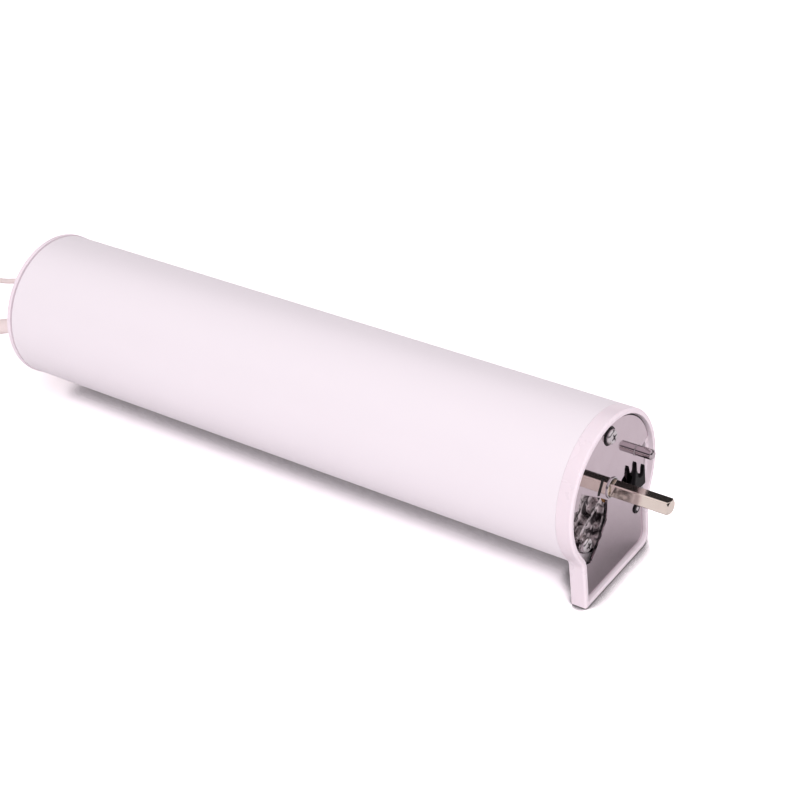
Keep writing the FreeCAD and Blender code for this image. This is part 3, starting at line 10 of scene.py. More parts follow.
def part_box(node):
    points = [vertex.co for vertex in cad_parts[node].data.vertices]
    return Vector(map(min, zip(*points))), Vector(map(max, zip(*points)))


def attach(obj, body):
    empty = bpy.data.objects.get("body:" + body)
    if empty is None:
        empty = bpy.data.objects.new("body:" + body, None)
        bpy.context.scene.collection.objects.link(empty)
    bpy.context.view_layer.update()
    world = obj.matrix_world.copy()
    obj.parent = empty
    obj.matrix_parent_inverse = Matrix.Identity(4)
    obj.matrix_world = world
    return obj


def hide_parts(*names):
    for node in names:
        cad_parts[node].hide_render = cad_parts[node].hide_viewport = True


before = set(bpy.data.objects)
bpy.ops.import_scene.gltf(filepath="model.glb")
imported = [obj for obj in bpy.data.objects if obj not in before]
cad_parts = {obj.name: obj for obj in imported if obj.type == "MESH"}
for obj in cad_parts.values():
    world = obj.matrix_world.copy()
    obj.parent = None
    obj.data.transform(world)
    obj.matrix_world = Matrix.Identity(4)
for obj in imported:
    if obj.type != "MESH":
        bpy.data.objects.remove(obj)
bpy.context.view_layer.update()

bl_info = {
    "name": "Curtain motor",
    "version": (1, 0, 0),
    "blender": (4, 5, 0),
    "location": "3D View > Sidebar > Curtain motor",
    "description": "Dresses the packed curtain motor with its visible pieces, finishes, cords and studio",
    "category": "Object",
}

MM = 0.001
ROOT = "housing"
OUTPUT = "output"

# The camera: its place in metres, its three axes and its lens in millimetres.
CAMERA_PLACE = (0.30908, -0.49278, 0.44612)
CAMERA_RIGHT = (0.81075, 0.57743, -0.09619)
CAMERA_UP = (-0.26594, 0.50971, 0.81821)
CAMERA_BACK = (0.52149, -0.63779, 0.56681)
CAMERA_SENSOR, CAMERA_LENS = 36, 91.59

# Each lamp: its strength, its width in degrees and the way towards it. All have the faint pink of the light.
LIGHT_TINT = (1, 0.93, 0.97)
LAMPS = {
    "key_lamp": (1.4, 36, (0.45, -0.42, 0.79)),
    "fill_lamp": (0.9, 60, (0.45, -0.86, 0.22)),
    "top_lamp": (0.45, 60, (0.1, 0.5, 0.86)),
}

# Outlines of flat shapes across the axis: y and z in millimetres.
NOTCH = ((-3.3, -3.5), (-4.2, -11.4), (-8.6, -16.6), (-16.2, -23), (-24, -20), (-26, 0), (-20, 10.4), (-7.4, 0.2))
TONGUE = ((10, -8), (22, -8), (23, 0), (22, 4), (10, 4))
SLOT = ((-4.7, 7.2), (-5.2, 8.2), (-6.5, 8.0), (-9.5, 3.6), (-9.7, 2.6), (-8.4, 1.9))
CROWN = ((12.0, -10.0), (19.4, -10.0), (19.4, -2.2), (18.9, -1.4), (18.3, -2.6), (18.0, -4.9), (17.2, -5.4),
         (15.5, -5.2), (14.6, -4.4), (14.2, -1.6), (13.5, 0.4), (12.8, -1.2), (12.4, -3.6), (12.0, -5.0))
CROWN_ROOT = ((12.4, -9.6), (19.0, -9.6), (19.0, -6.2), (12.4, -6.6))
RIVET_CENTRE = (16.0 * MM, -20.4 * MM)

SCREW_HEAD = 2.9 * MM

# The cords: where each leaves its relief, and the heights of the coil's two layers and of the wire lying on it.
CORD_EXIT = (-295.8 * MM, -6 * MM, -15.6 * MM)
WIRE_EXIT = (-278.8 * MM, -2 * MM, 9 * MM)
COIL_LOW, COIL_HIGH, WIRE_ON_COIL = -35.8 * MM, -28.7 * MM, -24.05 * MM


def linear(colour):
    """A colour written as #RRGGBB in sRGB, as the linear values that shaders take."""
    values = []
    for start in (1, 3, 5):
        share = int(colour[start:start + 2], 16) / 255
        values.append(share / 12.92 if share <= 0.04045 else ((share + 0.055) / 1.055) ** 2.4)
    return tuple(values)


def length(name, text, default, low=0.0):
    return FloatProperty(name=name, description=text, default=default, min=low, unit="LENGTH", subtype="DISTANCE")


def tint(name, text, default):
    return FloatVectorProperty(name=name, description=text, default=linear(default), size=3, min=0, max=1,
                               subtype="COLOR")


class MotorSizes(PropertyGroup):
    tube_radius: length("Tube radius", "Outside of the aluminium tube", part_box("housing_tube")[1].z)
    tube_bore: length("Tube bore", "Inside radius of the aluminium tube", 28.2 * MM)
    moulded_edge: length("Moulded edge", "Rounding of the moulded edges", 0.28 * MM)
    machined_edge: length("Machined edge", "Rounding of turned, milled and stamped edges", 0.1 * MM)
    cast_edge: length("Cast edge", "Rounding of the die-cast edges", 0.3 * MM)
    power_cord: length("Power cord", "Diameter of the power cord", 6.6 * MM)
    aerial_wire: length("Aerial wire", "Diameter of the aerial wire", 2.3 * MM)


class MotorColours(PropertyGroup):
    powder_coat: tint("Powder coat", "White powder coat of the tube", "#EFECEF")
    moulding: tint("Mouldings", "White mouldings at both ends and the plug", "#F0E7EC")
    jacket: tint("Jackets", "Jackets of power cord and aerial wire", "#EFE3DF")
    catch: tint("Catch", "Black moulded catch", "#0B0A0C")
    floor: tint("Floor", "Floor that the motor lies on", "#F8F5F7")


def sizes():
    return bpy.context.scene.motor_sizes


def colours():
    return bpy.context.scene.motor_colours


# Materials


def add_node(tree, kind, values=None, links=None, **settings):
    """Adds one node with its settings, the values of its sockets and the links into them."""
    made = tree.nodes.new(kind)
    for name, setting in settings.items():
        setattr(made, name, setting)
    for socket, value in (values or {}).items():
        made.inputs[socket].default_value = value
    for socket, source in (links or {}).items():
        tree.links.new(source, made.inputs[socket])
    return made


def grain(size):
    """Scale of a noise or cell texture whose features are this many millimetres wide."""
    return 1 / (size * MM)


def bands(pitch):
    """Scale of a wave texture whose bands are this many millimetres apart."""
    return 2 * math.pi / (20 * pitch * MM)


def new_surface(name, metallic, **shader):
    """A material with only its shader and output, and the coordinates that its patterns follow."""
    material = bpy.data.materials.new(name)
    material.use_nodes = True
    tree = material.node_tree
    tree.nodes.clear()
    values = {"Metallic": metallic}
    values.update({socket.replace("_", " "): value for socket, value in shader.items()})
    surface = add_node(tree, "ShaderNodeBsdfPrincipled", values)
    add_node(tree, "ShaderNodeOutputMaterial", links={"Surface": surface.outputs["BSDF"]})
    place = add_node(tree, "ShaderNodeTexCoord").outputs["Object"]
    return material, tree, surface, place


def coloured(tree, surface, share, first, second):
    """Lets the base colour run from one colour to another with a pattern."""
    mixed = add_node(tree, "ShaderNodeMixRGB", {"Color1": (*first, 1), "Color2": (*second, 1)}, {"Fac": share})
    tree.links.new(mixed.outputs["Color"], surface.inputs["Base Color"])


def polished_between(tree, surface, share, low, high):
    """Lets the roughness run between two values with a pattern."""
    spread = add_node(tree, "ShaderNodeMapRange", {"To Min": low, "To Max": high}, {"Value": share})
    tree.links.new(spread.outputs["Result"], surface.inputs["Roughness"])


def raised(tree, surface, height, depth, under=None):
    """Bumps the surface by a pattern that is this many millimetres deep."""
    links = {"Height": height}
    if under is not None:
        links["Normal"] = under
    bump = add_node(tree, "ShaderNodeBump", {"Distance": depth * MM, "Strength": 1.0}, links)
    tree.links.new(bump.outputs["Normal"], surface.inputs["Normal"])
    return bump.outputs["Normal"]


def darker(colour, share):
    return tuple(value * share for value in colour)


def powder_coat():
    """Polyester powder coat, sprayed and baked: satin gloss over a soft orange peel."""
    colour = tuple(colours().powder_coat)
    material, tree, surface, place = new_surface("polyester_powder_coat", 0, IOR=1.5, Specular_IOR_Level=0.3)
    peel = add_node(tree, "ShaderNodeTexNoise", {"Scale": grain(1.6), "Detail": 2, "Roughness": 0.4},
                    {"Vector": place})
    cloud = add_node(tree, "ShaderNodeTexNoise", {"Scale": grain(38), "Detail": 3}, {"Vector": place})
    coloured(tree, surface, cloud.outputs["Fac"], darker(colour, 0.985), colour)
    polished_between(tree, surface, peel.outputs["Fac"], 0.36, 0.44)
    raised(tree, surface, peel.outputs["Fac"], 0.008)
    return material


def white_moulding():
    """ABS, injection moulded in a polished tool: even gloss with the faint ripple of the melt's flow."""
    colour = tuple(colours().moulding)
    material, tree, surface, place = new_surface("moulded_abs", 0, IOR=1.53, Subsurface_Weight=0.06,
                                                 Subsurface_Scale=0.8 * MM)
    surface.inputs["Subsurface Radius"].default_value = (1, 0.8, 0.75)
    flow = add_node(tree, "ShaderNodeTexNoise", {"Scale": grain(9), "Detail": 3, "Distortion": 0.6},
                    {"Vector": place})
    fine = add_node(tree, "ShaderNodeTexNoise", {"Scale": grain(0.35), "Detail": 2}, {"Vector": place})
    coloured(tree, surface, flow.outputs["Fac"], darker(colour, 0.98), colour)
    polished_between(tree, surface, flow.outputs["Fac"], 0.24, 0.32)
    first = raised(tree, surface, flow.outputs["Fac"], 0.012)
    raised(tree, surface, fine.outputs["Fac"], 0.0015, first)
    return material


def mirror_steel():
    """Stainless sheet, buffed to a mirror after stamping: clear reflections with faint polishing lines and haze."""
    material, tree, surface, place = new_surface("mirror_polished_stainless", 1)
    stretched = add_node(tree, "ShaderNodeMapping", {"Scale": (1, 0.05, 1)}, {"Vector": place})
    lines = add_node(tree, "ShaderNodeTexNoise", {"Scale": grain(0.25), "Detail": 3},
                     {"Vector": stretched.outputs["Vector"]})
    haze = add_node(tree, "ShaderNodeTexNoise", {"Scale": grain(7), "Detail": 4, "Distortion": 0.4},
                    {"Vector": place})
    coloured(tree, surface, haze.outputs["Fac"], linear("#C9BBC2"), linear("#D5C9CF"))
    polished_between(tree, surface, haze.outputs["Fac"], 0.05, 0.11)
    raised(tree, surface, lines.outputs["Fac"], 0.0006)
    return material


def die_casting():
    """Zinc-aluminium, die cast and left as it came from the tool: grey, grainy skin, running from dark grey to near
    white in random patches.
    """
    material, tree, surface, place = new_surface("die_cast_zinc", 1)
    skin = add_node(tree, "ShaderNodeTexNoise", {"Scale": grain(0.8), "Detail": 6, "Roughness": 0.65},
                    {"Vector": place})
    blotches = add_node(tree, "ShaderNodeTexNoise", {"Scale": grain(3.2), "Detail": 4, "Distortion": 0.8},
                      {"Vector": place})
    patchy = add_node(tree, "ShaderNodeMapRange", {"From Min": 0.42, "From Max": 0.58},
                      {"Value": blotches.outputs["Fac"]})
    coloured(tree, surface, patchy.outputs["Result"], linear("#3E373A"), linear("#EDE4E6"))
    polished_between(tree, surface, skin.outputs["Fac"], 0.16, 0.5)
    lumps = raised(tree, surface, blotches.outputs["Fac"], 1.1)
    raised(tree, surface, skin.outputs["Fac"], 0.09, lumps)
    return material


def black_nylon():
    """Glass-filled nylon, moulded in a spark-eroded tool: dull black with a fine even grain."""
    colour = tuple(colours().catch)
    material, tree, surface, place = new_surface("black_glass_nylon", 0, IOR=1.53, Specular_IOR_Level=0.15)
    grained = add_node(tree, "ShaderNodeTexNoise", {"Scale": grain(0.4), "Detail": 4}, {"Vector": place})
    coloured(tree, surface, grained.outputs["Fac"], colour, tuple(value * 1.8 for value in colour))
    polished_between(tree, surface, grained.outputs["Fac"], 0.4, 0.58)
    raised(tree, surface, grained.outputs["Fac"], 0.01)
    return material


def plated_shaft():
    """Steel bar, drawn square and nickel plated: bright and warm, with drawing lines along its length."""
    material, tree, surface, place = new_surface("nickel_plated_bar", 1)
    drawn = add_node(tree, "ShaderNodeMapping", {"Scale": (0.04, 1, 1)}, {"Vector": place})
    lines = add_node(tree, "ShaderNodeTexNoise", {"Scale": grain(0.16), "Detail": 3},
                     {"Vector": drawn.outputs["Vector"]})
    patches = add_node(tree, "ShaderNodeTexNoise", {"Scale": grain(5), "Detail": 2}, {"Vector": place})
    coloured(tree, surface, patches.outputs["Fac"], linear("#E2D8CC"), linear("#F0E6DA"))
    polished_between(tree, surface, lines.outputs["Fac"], 0.07, 0.15)
    raised(tree, surface, lines.outputs["Fac"], 0.003)
    return material


def zinc_plate():
    """Steel, turned or headed and zinc plated: a cool shine with the rings of the tool."""
    material, tree, surface, place = new_surface("zinc_plated_steel", 1)
    rings = add_node(tree, "ShaderNodeTexWave", {"Scale": bands(0.22), "Distortion": 1.2, "Detail": 2},
                     {"Vector": place}, wave_type="RINGS", rings_direction="X")
    patches = add_node(tree, "ShaderNodeTexNoise", {"Scale": grain(1.4), "Detail": 3}, {"Vector": place})
    coloured(tree, surface, patches.outputs["Fac"], linear("#C3BFC2"), linear("#DEDADB"))
    polished_between(tree, surface, patches.outputs["Fac"], 0.16, 0.3)
    raised(tree, surface, rings.outputs["Fac"], 0.002)
    return material


def cord_jacket():
    """PVC, extruded over the cores: soft sheen, with slow waves from the die and dust that it holds."""
    colour = tuple(colours().jacket)
    material, tree, surface, place = new_surface("extruded_pvc", 0, IOR=1.52)
    waves = add_node(tree, "ShaderNodeTexNoise", {"Scale": grain(6), "Detail": 3}, {"Vector": place})
    fine = add_node(tree, "ShaderNodeTexNoise", {"Scale": grain(0.5), "Detail": 2}, {"Vector": place})
    coloured(tree, surface, waves.outputs["Fac"], darker(colour, 0.95), colour)
    polished_between(tree, surface, waves.outputs["Fac"], 0.36, 0.48)
    raised(tree, surface, fine.outputs["Fac"], 0.01)
    return material


def patterned(name, metallic, first, second, rough, pattern, size, depth, **shader):
    """A surface whose colour, roughness and relief follow one pattern: spots, layers, rings, lines or cells."""
    material, tree, surface, place = new_surface(name, metallic, **shader)
    if pattern == "layers":
        made = add_node(tree, "ShaderNodeTexWave", {"Scale": bands(size), "Distortion": 0.3, "Detail": 1},
                        {"Vector": place}, wave_type="BANDS", bands_direction="X")
    elif pattern == "rings":
        made = add_node(tree, "ShaderNodeTexWave", {"Scale": bands(size), "Distortion": 0.8, "Detail": 2},
                        {"Vector": place}, wave_type="RINGS", rings_direction="X")
    elif pattern == "lines":
        drawn = add_node(tree, "ShaderNodeMapping", {"Scale": (0.05, 1, 1)}, {"Vector": place})
        made = add_node(tree, "ShaderNodeTexNoise", {"Scale": grain(size), "Detail": 3},
                        {"Vector": drawn.outputs["Vector"]})
    elif pattern == "cells":
        made = add_node(tree, "ShaderNodeTexVoronoi", {"Scale": grain(size)}, {"Vector": place})
    else:
        made = add_node(tree, "ShaderNodeTexNoise", {"Scale": grain(size), "Detail": 4}, {"Vector": place})
    share = made.outputs["Distance" if pattern == "cells" else "Fac"]
    coloured(tree, surface, share, linear(first), linear(second))
    polished_between(tree, surface, share, *rough)
    raised(tree, surface, share, depth)
    return material


INNER_FINISHES = {
    # Hobbed steel: fine tool lines across the teeth, dull from the quench.
    "hobbed_steel": (1, "#8F8D8E", "#A9A7A8", (0.26, 0.4), "rings", 0.35, 0.006),
    # Acetal: translucent ivory, slippery with grease.
    "greased_acetal": (0, "#E3DCC9", "#EFE9D8", (0.22, 0.4), "spots", 1.2, 0.01),
    # Brass bar, hobbed: warm yellow with rings.
    "hobbed_brass": (1, "#C7A354", "#DDBB6B", (0.2, 0.34), "rings", 0.3, 0.004),
    # Bronze powder, pressed and sintered: dull with open pores full of oil.
    "pressed_bronze": (1, "#7D5C34", "#A87F4C", (0.4, 0.62), "cells", 0.3, 0.02),
    # Zinc-plated deep-drawn can: drawing lines along the axis.
    "drawn_zinc_can": (1, "#AFB1B4", "#C6C8CA", (0.22, 0.36), "lines", 0.4, 0.004),
    # Electrical sheet in a stack: half-millimetre layers seen edge on, drawn as 0.8 mm so that they show.
    "stacked_sheet": (1, "#4A494B", "#7B7A7C", (0.35, 0.55), "layers", 0.8, 0.04),
    # Enamelled copper wire, wound and varnished: 0.7 mm turns.
    "varnished_winding": (1, "#8A3F1B", "#C8713C", (0.22, 0.38), "rings", 0.7, 0.12),
    # Ferrite, pressed and fired: charcoal, faintly crystalline.
    "fired_ferrite": (0, "#232326", "#343438", (0.5, 0.7), "cells", 0.5, 0.01),
    # Carbon brush: pressed graphite, dark with a grey lustre.
    "pressed_graphite": (0, "#18181A", "#2C2C30", (0.38, 0.55), "spots", 0.6, 0.01),
    # Glass-epoxy board under green lacquer: woven glass shows through.
    "lacquered_board": (0, "#0F4A2A", "#1C6B3E", (0.24, 0.36), "cells", 0.9, 0.01),
    # Thermoplastic component cases: blue, semi-matt.
    "moulded_case": (0, "#1F3C78", "#2B4C8E", (0.3, 0.42), "spots", 0.7, 0.006),
    # Transformer iron under brown varnish: layers and drips.
    "varnished_iron": (1, "#3E3836", "#6B625E", (0.32, 0.5), "layers", 0.9, 0.03),
    # Tinned sheet shield: bright and slightly wavy.
    "tinned_sheet": (1, "#BFC0C2", "#D6D7D9", (0.2, 0.34), "spots", 2.2, 0.01),
    # Polyamide terminal block: green, moulded.
    "green_polyamide": (0, "#1E7A3A", "#2A8F49", (0.3, 0.42), "spots", 0.6, 0.006),
    # Nitrile rubber ring: matt black with a bloom.
    "nitrile_rubber": (0, "#0C0C0D", "#18181A", (0.6, 0.8), "spots", 0.9, 0.02),
    # Soft white PVC of the relief and grommet.
    "soft_pvc": (0, "#E9DEDC", "#F2E8E6", (0.4, 0.52), "spots", 1.1, 0.012),
    # Hook-and-loop strap: woven nylon, 0.6 mm ribs.
    "woven_strap": (0, "#D9D4D1", "#ECE7E4", (0.7, 0.9), "layers", 0.6, 0.08),
    # Nickel-plated brass pins of the plug.
    "plated_brass_pin": (1, "#C9C4BA", "#DAD6CC", (0.14, 0.24), "rings", 0.25, 0.002),
    # Steel pin, centreless ground: dark and clear, so that it shows the room in bands.
    "ground_steel": (1, "#B3AAAE", "#CBC2C6", (0.06, 0.13), "lines", 0.2, 0.002),
    # Steel washer, blackened in salt: dull blue-black.
    "blackened_steel": (1, "#1B191B", "#2A272A", (0.3, 0.45), "rings", 0.3, 0.003),
    # Machined steel plates and carriers: facing marks as rings.
    "faced_steel": (1, "#9A989A", "#B5B3B5", (0.24, 0.36), "rings", 0.5, 0.004),
}

INNER_NODES = {
    "hobbed_steel": ("ring_gear", "second_planet_1", "second_planet_2", "second_planet_3"),
    "faced_steel": ("output_carrier", "output_carrier_pins", "middle_carrier", "middle_carrier_pins", "motor_shaft"),
    "greased_acetal": ("first_planet_1", "first_planet_2", "first_planet_3"),
    "hobbed_brass": ("motor_pinion",),
    "pressed_bronze": ("front_bush", "front_motor_bearing", "rear_motor_bearing"),
    "drawn_zinc_can": ("motor_can", "gearbox_bolts", "rear_cap_screws"),
    "stacked_sheet": ("rotor_core",),
    "varnished_winding": ("rotor_windings", "commutator"),
    "fired_ferrite": ("encoder_magnet", "field_magnets"),
    "pressed_graphite": ("carbon_brushes",),
    "lacquered_board": ("sensor_board", "control_board"),
    "moulded_case": ("board_capacitor", "direction_relays"),
    "varnished_iron": ("mains_transformer",),
    "tinned_sheet": ("radio_module",),
    "green_polyamide": ("terminal_block",),
    "nitrile_rubber": ("motor_damper",),
    "die_cast_zinc": ("motor_plate",),
    "black_glass_nylon": ("motor_end_bell", "board_tray"),
}

OWN_FINISHES = {
    "polyester_powder_coat": powder_coat,
    "moulded_abs": white_moulding,
    "mirror_polished_stainless": mirror_steel,
    "die_cast_zinc": die_casting,
    "black_glass_nylon": black_nylon,
    "nickel_plated_bar": plated_shaft,
    "zinc_plated_steel": zinc_plate,
    "extruded_pvc": cord_jacket,
}


def finish_named(name):
    """The material of this name, made when it is first asked for."""
    material = bpy.data.materials.get(name)
    if material is None:
        if name in OWN_FINISHES:
            material = OWN_FINISHES[name]()
        else:
            material = patterned(name, *INNER_FINISHES[name])
    return material


# Shapes


def new_piece(name, mesh, finish, body, node=None):
    """Links the mesh as one piece of the motor that rides on a body and stands for a node."""
    piece = bpy.data.objects.new(name, mesh)
    bpy.context.scene.collection.objects.link(piece)
    mesh.materials.clear()
    mesh.materials.append(finish_named(finish))
    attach(piece, body)
    if node:
        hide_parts(node)
    return piece


def smooth_by_angle(mesh, degrees):
    mesh.shade_smooth()
    mesh.set_sharp_from_angle(angle=math.radians(degrees))


def turned(name, profile, centre=(0.0, 0.0), steps=128, closed=True):
    """A mesh turned about a line along X: the profile gives x and radius in metres."""
    shape = bmesh.new()
    rings = []
    for x, radius in profile:
        if radius < 1e-7:
            rings.append([shape.verts.new((x, centre[0], centre[1]))])
            continue
        rings.append([shape.verts.new((x, centre[0] + radius * math.cos(2 * math.pi * step / steps),
                                       centre[1] + radius * math.sin(2 * math.pi * step / steps)))
                      for step in range(steps)])
    pairs = list(zip(rings, rings[1:] + rings[:1])) if closed else list(zip(rings, rings[1:]))
    for first, second in pairs:
        for step in range(steps):
            after = (step + 1) % steps
            if len(first) == 1 and len(second) == 1:
                break
            if len(first) == 1:
                corners = [first[0], second[after], second[step]]
            elif len(second) == 1:
                corners = [first[step], first[after], second[0]]
            else:
                corners = [first[step], first[after], second[after], second[step]]
            shape.faces.new(corners)
    bmesh.ops.recalc_face_normals(shape, faces=shape.faces)
    mesh = bpy.data.meshes.new(name)
    shape.to_mesh(mesh)
    shape.free()
    return mesh


def rounded_profile(corners, steps=4):
    """Rounds the corners of a closed profile: each corner is x, radius from the axis, and its own rounding."""
    made = []
    count = len(corners)
    for number, corner in enumerate(corners):
        here = Vector(corner[:2])
        size = corner[2]
        before = Vector(corners[number - 1][:2])
        after = Vector(corners[(number + 1) % count][:2])
        to_before, to_after = (before - here), (after - here)
        if size <= 0 or to_before.length < 1e-9 or to_after.length < 1e-9:
            made.append(tuple(here))
            continue
        size = min(size, to_before.length * 0.49, to_after.length * 0.49)
        start = here + to_before.normalized() * size
        stop = here + to_after.normalized() * size
        for step in range(steps + 1):
            share = step / steps
            point = start * (1 - share) ** 2 + here * 2 * share * (1 - share) + stop * share ** 2
            made.append(tuple(point))
    return made


def rounded_copy(name, node, finish, body, edge, steps=3, spread=28, reshape=None, cutter=None, stands_in=True):
    """A fresh copy of a node's solid with its facets joined and its sharp edges rounded as made."""
    shape = bmesh.new()
    shape.from_mesh(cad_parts[node].data)
    if reshape:
        for vert in shape.verts:
            vert.co = reshape(vert.co)
    bmesh.ops.remove_doubles(shape, verts=shape.verts, dist=0.004 * MM)
    bmesh.ops.dissolve_limit(shape, angle_limit=math.radians(0.6), verts=shape.verts, edges=shape.edges)
    mesh = bpy.data.meshes.new(name)
    shape.to_mesh(mesh)
    shape.free()
    if cutter:
        mesh = carved_by(mesh, cutter)
    mesh.shade_smooth()
    piece = new_piece(name, mesh, finish, body, node if stands_in else None)
    bevel = piece.modifiers.new("edges", "BEVEL")
    bevel.width = edge
    bevel.segments = steps
    bevel.limit_method = "ANGLE"
    bevel.angle_limit = math.radians(spread)
    bevel.miter_outer = "MITER_ARC"
    smooth = piece.modifiers.new("shading", "WEIGHTED_NORMAL")
    smooth.mode = "FACE_AREA_WITH_ANGLE"
    smooth.weight = 60
    return piece


def carved_by(mesh, cutter_mesh):
    """The first mesh with the second taken away from it."""
    whole = bpy.data.objects.new("carved_whole", mesh)
    cutter = bpy.data.objects.new("carved_cutter", cutter_mesh)
    for thing in (whole, cutter):
        bpy.context.scene.collection.objects.link(thing)
    cut = whole.modifiers.new("cut", "BOOLEAN")
    cut.operation = "DIFFERENCE"
    cut.solver = "EXACT"
    cut.object = cutter
    bpy.context.view_layer.update()
    carved = bpy.data.meshes.new_from_object(whole.evaluated_get(bpy.context.evaluated_depsgraph_get()))
    for thing in (whole, cutter):
        bpy.data.objects.remove(thing)
    return carved


def box_mesh(name, low, high, turn=0.0, about=(0.0, 0.0)):
    """A box between two corners, turned about a line along X."""
    shape = bmesh.new()
    bmesh.ops.create_cube(shape, size=1)
    centre = (Vector(low) + Vector(high)) / 2
    size = Vector(high) - Vector(low)
    for vert in shape.verts:
        vert.co = Vector((vert.co.x * size.x, vert.co.y * size.y, vert.co.z * size.z)) + centre
    pivot = Vector((0, *about))
    bmesh.ops.rotate(shape, verts=shape.verts, cent=pivot, matrix=Matrix.Rotation(turn, 3, "X"))
    mesh = bpy.data.meshes.new(name)
    shape.to_mesh(mesh)
    shape.free()
    return mesh


def slab(name, low_x, high_x, outline):
    """A flat piece between two planes across the axis, with this outline of y and z in millimetres."""
    shape = bmesh.new()
    layers = [[shape.verts.new((x, y * MM, z * MM)) for y, z in outline] for x in (low_x, high_x)]
    shape.faces.new(layers[0])
    shape.faces.new(layers[1])
    for number in range(len(outline)):
        after = (number + 1) % len(outline)
        shape.faces.new((layers[0][number], layers[0][after], layers[1][after], layers[1][number]))
    bmesh.ops.recalc_face_normals(shape, faces=shape.faces)
    mesh = bpy.data.meshes.new(name)
    shape.to_mesh(mesh)
    shape.free()
    return mesh


def softened(piece, edge, steps=2):
    """Rounds the sharp edges of a piece as they come from the tool."""
    bevel = piece.modifiers.new("edges", "BEVEL")
    bevel.width = edge
    bevel.segments = steps
    bevel.limit_method = "ANGLE"
    bevel.angle_limit = math.radians(28)
    return piece


def joined_meshes(name, meshes):
    shape = bmesh.new()
    for mesh in meshes:
        shape.from_mesh(mesh)
    made = bpy.data.meshes.new(name)
    shape.to_mesh(made)
    shape.free()
    return made


def screw_mesh(name, head_front, centre, turn):
    """A pan-head screw with a domed head and a cross recess, seen from its head."""
    head, shank, height, grip = SCREW_HEAD, 1.5 * MM, 2.0 * MM, 14 * MM
    profile = [(head_front - height - grip, 0), (head_front - height - grip, shank), (head_front - height, shank),
               (head_front - height, head)]
    for step in range(9):
        angle = math.radians(90 * step / 8)
        profile.append((head_front - height * 0.62 * (1 - math.sin(angle)) - 0.1 * MM * math.cos(angle),
                        head - 1.0 * MM * (1 - math.cos(angle))))
    profile.append((head_front, 0))
    body = turned(name, profile, centre, 72, closed=False)
    arms = []
    for arm in (0, 90):
        low = (head_front - 1.15 * MM, centre[0] - 1.55 * MM, centre[1] - 0.36 * MM)
        high = (head_front + 1 * MM, centre[0] + 1.55 * MM, centre[1] + 0.36 * MM)
        arms.append(box_mesh("recess_arm", low, high, math.radians(turn + arm), centre))
    for arm in arms:
        body = carved_by(body, arm)
    smooth_by_angle(body, 32)
    return body


def cord_line(name, route, diameter, finish):
    """One cord as a smooth open spline whose control points are the route."""
    curve = bpy.data.curves.new(name, "CURVE")
    curve.dimensions = "3D"
    curve.bevel_depth = diameter / 2
    curve.bevel_resolution = 6
    curve.resolution_u = 8
    curve.use_fill_caps = True
    spline = curve.splines.new("NURBS")
    spline.points.add(len(route) - 1)
    for point, place in zip(spline.points, route):
        point.co = (*place, 1)
    spline.order_u = 3
    spline.use_endpoint_u = True
    curve.materials.append(finish_named(finish))
    piece = bpy.data.objects.new(name, curve)
    bpy.context.scene.collection.objects.link(piece)
    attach(piece, ROOT)
    return piece


def coil_route():
    """Control points of the wound cord: half turns in below, one that climbs, half turns out above."""
    tightest, step, each_way, per_half = 26.5 * MM, 3.55 * MM, 4, 8
    radii = [tightest + step * turn for turn in range(each_way, 0, -1)]
    radii += [tightest + step * turn for turn in range(each_way + 1)]
    middle_x, edge_y, side = -400 * MM, -radii[0], 1
    points = []
    for number, radius in enumerate(radii):
        centre_y = edge_y + side * radius
        outer = radius / math.cos(math.pi / (2 * per_half))
        for part in range(per_half):
            share = (part + 0.5) / per_half
            angle = math.pi * share
            height = COIL_LOW if number < each_way else COIL_HIGH
            if number == each_way:
                height = COIL_LOW + (COIL_HIGH - COIL_LOW) * share
            points.append((middle_x - side * outer * math.sin(angle), centre_y - side * outer * math.cos(angle),
                           height))
        edge_y += 2 * side * radius
        side = -side
    return points, (middle_x + 6.6 * MM, edge_y, COIL_HIGH)


def lead_route(start):
    """Control points of the lead that turns back over the coil to the plug lying on it."""
    radius, height, corners = 30.6 * MM, -12.4 * MM, 4
    middle_x, middle_y = start[0] + 13.4 * MM, start[1] - radius
    reach = radius / math.cos(math.pi / (2 * corners))
    points = [start]
    for number in range(corners):
        angle = math.pi * (number + 0.5) / corners
        level = start[2] + (height - start[2]) * number / (corners - 1)
        points.append((middle_x + reach * math.sin(angle), middle_y + reach * math.cos(angle), level))
    points.append((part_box("plug_body")[1].x, middle_y - radius, height))
    return points


# Operators, one for each piece or group of like pieces


